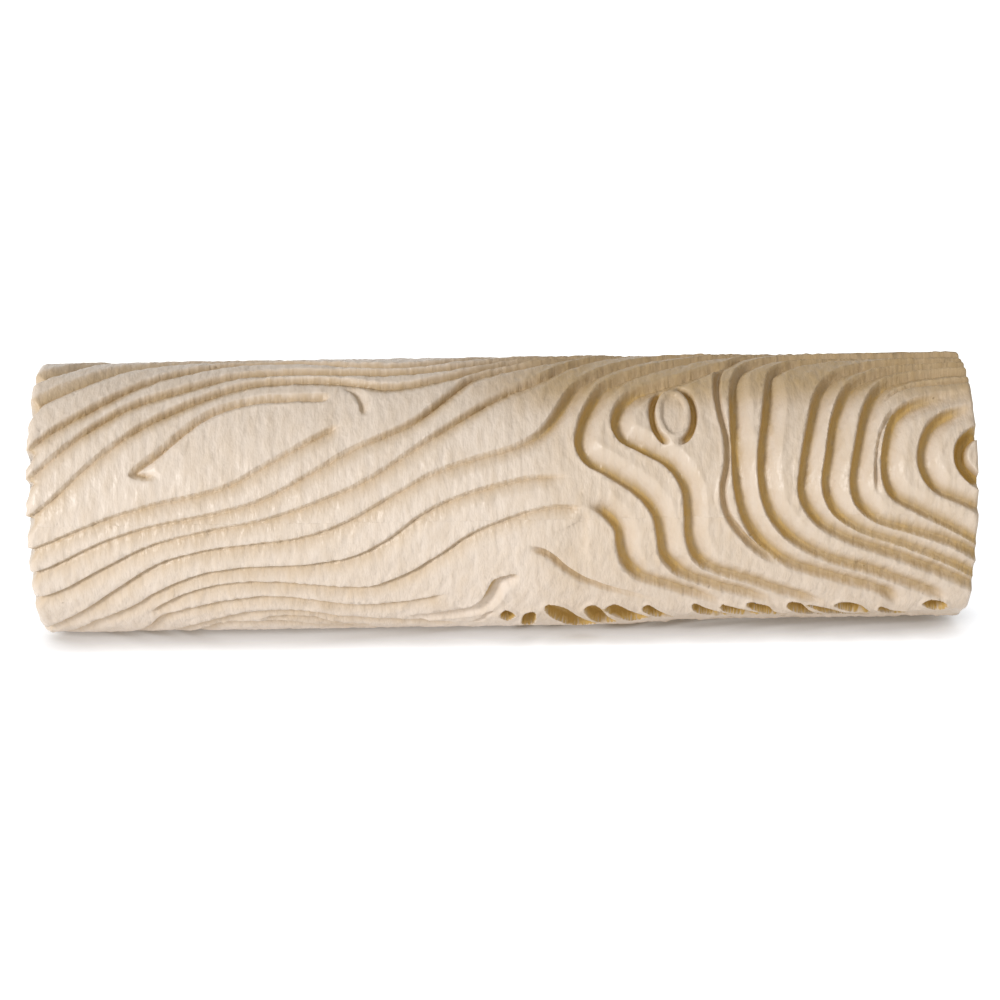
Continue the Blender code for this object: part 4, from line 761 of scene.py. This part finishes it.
def scalloped(columns, height):
    """Places along the roller, with the left end drawn in where a cut runs out."""
    near = np.clip(1 - (HALF_LENGTH_MM + columns) / SCALLOP_REACH_MM, 0.0, 1.0)
    drawn = np.clip(-height[:, 0] / SCALLOP_FULL_DEPTH_MM, 0.0, 1.0)
    return columns[None, :] + SCALLOP_MM * drawn[:, None] * near[None, :]


def sleeve_section(columns, degrees):
    """Places along the roller, radii and painted shade of the closed section, in mm, row by row."""
    height, recess = relief(columns, degrees)
    radius = CREST_RADIUS_MM + np.minimum(height - LAND_SINK_MM, 0.0) - end_rounding(columns)[None, :]
    along = scalloped(columns, height)

    # The end rings and the bore close the section behind the relief
    inner = np.array([[HALF_LENGTH_MM, BORE_RADIUS_MM], [0.0, BORE_RADIUS_MM],
                      [-HALF_LENGTH_MM, BORE_RADIUS_MM]])
    along = np.hstack([along, np.repeat(inner[None, :, 0], len(degrees), axis=0)])
    radius = np.hstack([radius, np.repeat(inner[None, :, 1], len(degrees), axis=0)])
    recess = np.hstack([recess, np.zeros((len(degrees), len(inner)))])
    return along, radius, recess


def ring_faces(rows, across):
    """Corner numbers of the faces of a grid that closes on itself both ways."""
    row = np.arange(rows)[:, None]
    column = np.arange(across)[None, :]
    next_row = (row + 1) % rows
    next_column = (column + 1) % across
    corners = np.stack([row * across + column, row * across + next_column,
                        next_row * across + next_column, next_row * across + column], axis=2)
    return corners.reshape(-1, 4)


def thin_out(sleeve, faces):
    """Brings the sleeve's triangles under the limit, keeping most of them where the relief is."""
    thin = sleeve.modifiers.new("thin_out", "DECIMATE")
    thin.ratio = min(1.0, TRIANGLE_LIMIT / (2 * faces))
    thinned = sleeve.evaluated_get(bpy.context.evaluated_depsgraph_get())
    sleeve.data = bpy.data.meshes.new_from_object(thinned)
    sleeve.modifiers.clear()
    smooth_folds(sleeve.data)


def make_sleeve(material):
    """The moulded sleeve as one closed body: relief outside, flat end rings, plain bore."""
    degrees = grid_rows()
    columns = grid_columns()
    along, radius, recess = sleeve_section(columns, degrees)
    rows, across = along.shape
    angle = np.radians(degrees)[:, None]
    points = np.stack([along, -radius * np.cos(angle), radius * np.sin(angle)], axis=2) * MM
    mesh = bpy.data.meshes.new("pattern_sleeve_relief")
    mesh.from_pydata(points.reshape(-1, 3), [], ring_faces(rows, across))
    unwrap(mesh, rows, across, columns)
    # Painted shade of each point, which the rubber's colour ramp turns golden brown
    mesh.attributes.new("recess", "FLOAT", "POINT").data.foreach_set("value", recess.ravel())
    mesh.shade_smooth()
    mesh.materials.append(material)
    sleeve = bpy.data.objects.new("pattern_sleeve_relief", mesh)
    bpy.context.scene.collection.objects.link(sleeve)
    thin_out(sleeve, rows * across)
    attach(sleeve, "roller")
    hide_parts("pattern_sleeve")


def is_folded(face):
    """Whether a face of the relief looks inwards."""
    middle = face.calc_center_median()
    outward = face.normal.y * middle.y + face.normal.z * middle.z
    return outward < 0 and math.hypot(middle.y, middle.z) > FOLD_RADIUS and abs(middle.x) < FOLD_REACH


def smooth_folds(mesh):
    """Evens out the few small faces of the relief that folded over when the mesh was thinned."""
    work = bmesh.new()
    work.from_mesh(mesh)
    suspects = list(work.faces)
    for _ in range(FOLD_ROUNDS):
        moved = {vertex for face in suspects if is_folded(face) for vertex in face.verts}
        bmesh.ops.smooth_vert(work, verts=list(moved), factor=FOLD_FACTOR, use_axis_x=True, use_axis_y=True,
                              use_axis_z=True)
        work.normal_update()
        suspects = {face for vertex in moved for face in vertex.link_faces}
    work.to_mesh(mesh)
    work.free()


def unwrap(mesh, rows, across, columns):
    """Lays the sleeve out flat: relief in the lower part of the sheet, ends and bore above it."""
    layer = mesh.uv_layers.new(name="unrolled")
    place = (columns + HALF_LENGTH_MM) / (2 * HALF_LENGTH_MM)
    up = np.concatenate([RELIEF_SHEET_SHARE * place, INNER_SHEET_PLACES])
    up = np.clip(up, 0.0, 1.0)
    round_it = np.arange(rows + 1) / rows
    row = np.arange(rows)[:, None] * np.ones((1, across), int)
    column = np.ones((rows, 1), int) * np.arange(across)[None, :]
    u = np.stack([round_it[row], round_it[row], round_it[row + 1], round_it[row + 1]], axis=2)
    v = np.stack([up[column], up[column + 1], up[column + 1], up[column]], axis=2)
    layer.data.foreach_set("uv", np.stack([u, v], axis=3).ravel())


# Materials

def new_material(name):
    """An empty node material and its Principled shader."""
    material = bpy.data.materials.new(name)
    material.use_nodes = True
    return material, material.node_tree, material.node_tree.nodes["Principled BSDF"]


def ramp_node(tree, factor, stops):
    """A colour ramp over a factor, from (position, colour) stops."""
    node = tree.nodes.new("ShaderNodeValToRGB")
    elements = node.color_ramp.elements
    while len(elements) < len(stops):
        elements.new(0.5)
    for element, (position, colour) in zip(elements, stops):
        element.position = position
        element.color = colour
    tree.links.new(factor, node.inputs["Fac"])
    return node


def math_node(tree, operation, first, second):
    """A math node; each side is a socket or a plain value."""
    node = tree.nodes.new("ShaderNodeMath")
    node.operation = operation
    for socket, value in zip(node.inputs, (first, second)):
        if isinstance(value, (int, float)):
            socket.default_value = value
        else:
            tree.links.new(value, socket)
    return node.outputs["Value"]


def noise_node(tree, vector, scale, detail):
    """Noise over a vector."""
    node = tree.nodes.new("ShaderNodeTexNoise")
    node.inputs["Scale"].default_value = scale
    node.inputs["Detail"].default_value = detail
    tree.links.new(vector, node.inputs["Vector"])
    return node.outputs["Fac"]


def unrolled_places(tree, coords):
    """Places on the unrolled sleeve, squeezed round it so that noise becomes streaks."""
    split = tree.nodes.new("ShaderNodeSeparateXYZ")
    tree.links.new(coords, split.inputs["Vector"])
    turn = math_node(tree, "ARCTAN2", split.outputs["Z"], split.outputs["Y"])
    arc = math_node(tree, "MULTIPLY", turn, CREST_RADIUS_MM * MM * STREAK_SQUEEZE)
    unrolled = tree.nodes.new("ShaderNodeCombineXYZ")
    tree.links.new(split.outputs["X"], unrolled.inputs["X"])
    tree.links.new(arc, unrolled.inputs["Y"])
    return unrolled.outputs["Vector"]


def streaky_shade_and_mottles(tree, places, streaks):
    """The mesh's painted shade, made streaky, with mottles on the land."""
    recess = tree.nodes.new("ShaderNodeAttribute")
    recess.attribute_name = "recess"
    inside = recess.outputs["Fac"]
    uneven = math_node(tree, "SUBTRACT", streaks, NOISE_MIDDLE)
    uneven = math_node(tree, "MULTIPLY", uneven, STREAK_UNEVENNESS)
    streaky = math_node(tree, "ADD", inside, math_node(tree, "MULTIPLY", uneven, inside))
    mottles = noise_node(tree, places, MOTTLES_PER_METRE, MOTTLE_DETAIL)
    mean = math_node(tree, "MULTIPLY", math_node(tree, "ADD", mottles, streaks), 1 / 2)
    spots = math_node(tree, "MAXIMUM", math_node(tree, "SUBTRACT", mean, MOTTLE_FROM), 0.0)
    plain = math_node(tree, "MULTIPLY", math_node(tree, "SUBTRACT", 1.0, inside), MOTTLE_STAIN)
    return math_node(tree, "ADD", streaky, math_node(tree, "MULTIPLY", spots, plain))


def rubber_material():
    """Cream rubber with golden brown painted shade in the cuts, with a streaky, lightly wrinkled skin."""
    material, tree, shader = new_material("cream_rubber")
    coords = tree.nodes.new("ShaderNodeTexCoord").outputs["Object"]
    places = unrolled_places(tree, coords)
    streaks = noise_node(tree, places, STREAKS_PER_METRE, NOISE_DETAIL)
    colour = ramp_node(tree, streaky_shade_and_mottles(tree, places, streaks),
                       [(0.0, LAND_COLOUR), (TAN_SHADE, TAN_SHADE_COLOUR), (BROWN_SHADE, BROWN_SHADE_COLOUR),
                        (RECESS_SHADE, RECESS_SHADE_COLOUR), (1.0, DEEP_SHADE_COLOUR)])
    shade = math_node(tree, "MULTIPLY", streaks, STREAK_SHADE)
    shade = math_node(tree, "ADD", shade, 1 - STREAK_SHADE / 2)
    tinted = tree.nodes.new("ShaderNodeVectorMath")
    tinted.operation = "SCALE"
    tree.links.new(colour.outputs["Color"], tinted.inputs["Vector"])
    tree.links.new(shade, tinted.inputs["Scale"])
    tree.links.new(tinted.outputs["Vector"], shader.inputs["Base Color"])
    shader.inputs["Roughness"].default_value = RUBBER_ROUGHNESS
    shader.inputs["Specular IOR Level"].default_value = RUBBER_SPECULAR

    pebbles = noise_node(tree, coords, PEBBLES_PER_METRE, NOISE_DETAIL)
    skin = math_node(tree, "ADD", math_node(tree, "MULTIPLY", pebbles, PEBBLE_SHARE), streaks)
    bump = tree.nodes.new("ShaderNodeBump")
    bump.inputs["Strength"].default_value = SKIN_BUMP
    bump.inputs["Distance"].default_value = SKIN_BUMP_HEIGHT
    tree.links.new(skin, bump.inputs["Height"])
    tree.links.new(bump.outputs["Normal"], shader.inputs["Normal"])
    return material


def plain_material(name):
    """A plastic or a metal with a faint unevenness in its roughness."""
    colour, roughness, metallic, grains = PLAIN_MATERIALS[name]
    material, tree, shader = new_material(name)
    shader.inputs["Base Color"].default_value = colour
    shader.inputs["Metallic"].default_value = metallic
    coords = tree.nodes.new("ShaderNodeTexCoord").outputs["Object"]
    uneven = math_node(tree, "SUBTRACT", noise_node(tree, coords, grains, NOISE_DETAIL), NOISE_MIDDLE)
    spread = math_node(tree, "MULTIPLY", uneven, ROUGHNESS_SPREAD)
    tree.links.new(math_node(tree, "ADD", spread, roughness), shader.inputs["Roughness"])
    return material


# Studio

def seen_rays(tree):
    """One for rays that show the backdrop: from the camera, by reflection or through a clear piece."""
    light_path = tree.nodes.new("ShaderNodeLightPath").outputs
    direct = math_node(tree, "MAXIMUM", light_path["Is Camera Ray"], light_path["Is Glossy Ray"])
    return math_node(tree, "MAXIMUM", direct, light_path["Is Transmission Ray"])


def make_floor():
    """Pale floor that reads as white to the camera and keeps the soft shadow."""
    mesh = bpy.data.meshes.new("floor")
    size = FLOOR_HALF_SIZE
    level = cad_low.z - FLOOR_GAP
    corners = [(-size, -size, level), (size, -size, level), (size, size, level), (-size, size, level)]
    mesh.from_pydata(corners, [], [(0, 1, 2, 3)])
    floor = bpy.data.objects.new("floor", mesh)
    bpy.context.scene.collection.objects.link(floor)
    material, tree, shader = new_material("floor")
    shader.inputs["Base Color"].default_value = FLOOR_COLOUR
    shader.inputs["Roughness"].default_value = FLOOR_ROUGHNESS
    shader.inputs["Specular IOR Level"].default_value = 0.0
    split = tree.nodes.new("ShaderNodeSeparateXYZ")
    tree.links.new(tree.nodes.new("ShaderNodeTexCoord").outputs["Object"], split.inputs["Vector"])
    away = math_node(tree, "DIVIDE", math_node(tree, "ABSOLUTE", split.outputs["Y"], 0), FLOOR_LIT_REACH)
    seen = ramp_node(tree, away, [(FLOOR_NEAR_SHARE, FLOOR_SEEN_NEAR), (1.0, WHITE)])
    open_sky = tree.nodes.new("ShaderNodeAmbientOcclusion")
    open_sky.inputs["Distance"].default_value = FLOOR_SHADOW_REACH
    tree.links.new(seen.outputs["Color"], open_sky.inputs["Color"])
    # The floor glows with FLOOR_GLOW to every ray but the camera's, a glow that lights the roller from below
    # in place of bounce light; to the camera it glows white, dimmed near the roller by ambient occlusion into
    # the contact shadow
    glow = tree.nodes.new("ShaderNodeMixRGB")
    glow.inputs["Color1"].default_value = FLOOR_GLOW
    tree.links.new(seen_rays(tree), glow.inputs["Fac"])
    tree.links.new(open_sky.outputs["Color"], glow.inputs["Color2"])
    tree.links.new(glow.outputs["Color"], shader.inputs["Emission Color"])
    shader.inputs["Emission Strength"].default_value = 1.0
    mesh.materials.append(material)


def make_world():
    """White to the camera, a soft even light to everything else."""
    world = bpy.data.worlds.new("studio")
    world.use_nodes = True
    tree = world.node_tree
    background = tree.nodes["Background"]
    background.inputs["Color"].default_value = WORLD_COLOUR
    background.inputs["Strength"].default_value = WORLD_STRENGTH
    backdrop = tree.nodes.new("ShaderNodeBackground")
    backdrop.inputs["Color"].default_value = WHITE
    choice = tree.nodes.new("ShaderNodeMixShader")
    tree.links.new(seen_rays(tree), choice.inputs["Fac"])
    tree.links.new(background.outputs["Background"], choice.inputs[1])
    tree.links.new(backdrop.outputs["Background"], choice.inputs[2])
    tree.links.new(choice.outputs["Shader"], tree.nodes["World Output"].inputs["Surface"])
    bpy.context.scene.world = world


def make_light(name, place, size, power):
    """A soft square light that faces the roller."""
    light = bpy.data.lights.new(name, "AREA")
    light.shape = "SQUARE"
    light.size = size
    light.energy = power
    light.color = LIGHT_COLOUR
    lamp = bpy.data.objects.new(name, light)
    bpy.context.scene.collection.objects.link(lamp)
    lamp.location = place
    lamp.rotation_euler = (-Vector(place)).to_track_quat("-Z", "Y").to_euler()


def make_camera():
    """The photo's camera: just above the roller, turned by a small pan, tilt and roll."""
    ahead = Vector((0, math.cos(CAMERA_ELEVATION), -math.sin(CAMERA_ELEVATION)))
    right = Vector((1, 0, 0))
    up = right.cross(ahead)
    aim = ahead * math.cos(CAMERA_PAN) + right * math.sin(CAMERA_PAN)
    right = right * math.cos(CAMERA_PAN) - ahead * math.sin(CAMERA_PAN)
    tilted = aim * math.cos(CAMERA_TILT) + up * math.sin(CAMERA_TILT)
    up = up * math.cos(CAMERA_TILT) - aim * math.sin(CAMERA_TILT)
    rolled = right * math.cos(CAMERA_ROLL) + up * math.sin(CAMERA_ROLL)
    up = up * math.cos(CAMERA_ROLL) - right * math.sin(CAMERA_ROLL)
    turn = Matrix((rolled, up, -tilted)).transposed().to_4x4()
    place = Vector((CAMERA_SIDE, 0, 0)) - ahead * CAMERA_DISTANCE
    data = bpy.data.cameras.new("camera")
    data.sensor_width = SENSOR_MM
    data.lens = LENS_MM
    camera = bpy.data.objects.new("camera", data)
    bpy.context.scene.collection.objects.link(camera)
    camera.matrix_world = Matrix.Translation(place) @ turn
    bpy.context.scene.camera = camera


def dress_node(node, material, bevel):
    """Gives a CAD piece its material and soft edges."""
    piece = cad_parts[node]
    piece.data.materials.clear()
    piece.data.materials.append(material)
    weld = piece.modifiers.new("weld", "WELD")
    weld.merge_threshold = WELD_GAP
    soft = piece.modifiers.new("soft_edges", "BEVEL")
    soft.width = bevel
    soft.segments = SOFT_EDGE_SEGMENTS
    soft.limit_method = "ANGLE"
    soft.angle_limit = SOFT_EDGE_ANGLE


bpy.context.scene.view_settings.view_transform = "Standard"
make_world()
make_floor()
make_light("key", KEY_PLACE, KEY_SIZE, KEY_POWER)
make_light("fill", FILL_PLACE, FILL_SIZE, FILL_POWER)
make_camera()
make_sleeve(rubber_material())
bright_steel = plain_material("bright_steel")
spring_steel = plain_material("spring_steel")
cap_plastic = plain_material("cap_plastic")
nylon = plain_material("nylon")
dress_node("core_tube", plain_material("core_plastic"), SOFT_EDGE)
dress_node("axle_tube", bright_steel, FINE_SOFT_EDGE)
for end in ("left", "right"):
    dress_node("end_cap_" + end, cap_plastic, SOFT_EDGE)
    dress_node("bearing_bush_" + end, nylon, SOFT_EDGE)
    dress_node("thrust_washer_" + end, bright_steel, FINE_SOFT_EDGE)
    dress_node("retaining_ring_" + end, spring_steel, FINE_SOFT_EDGE)
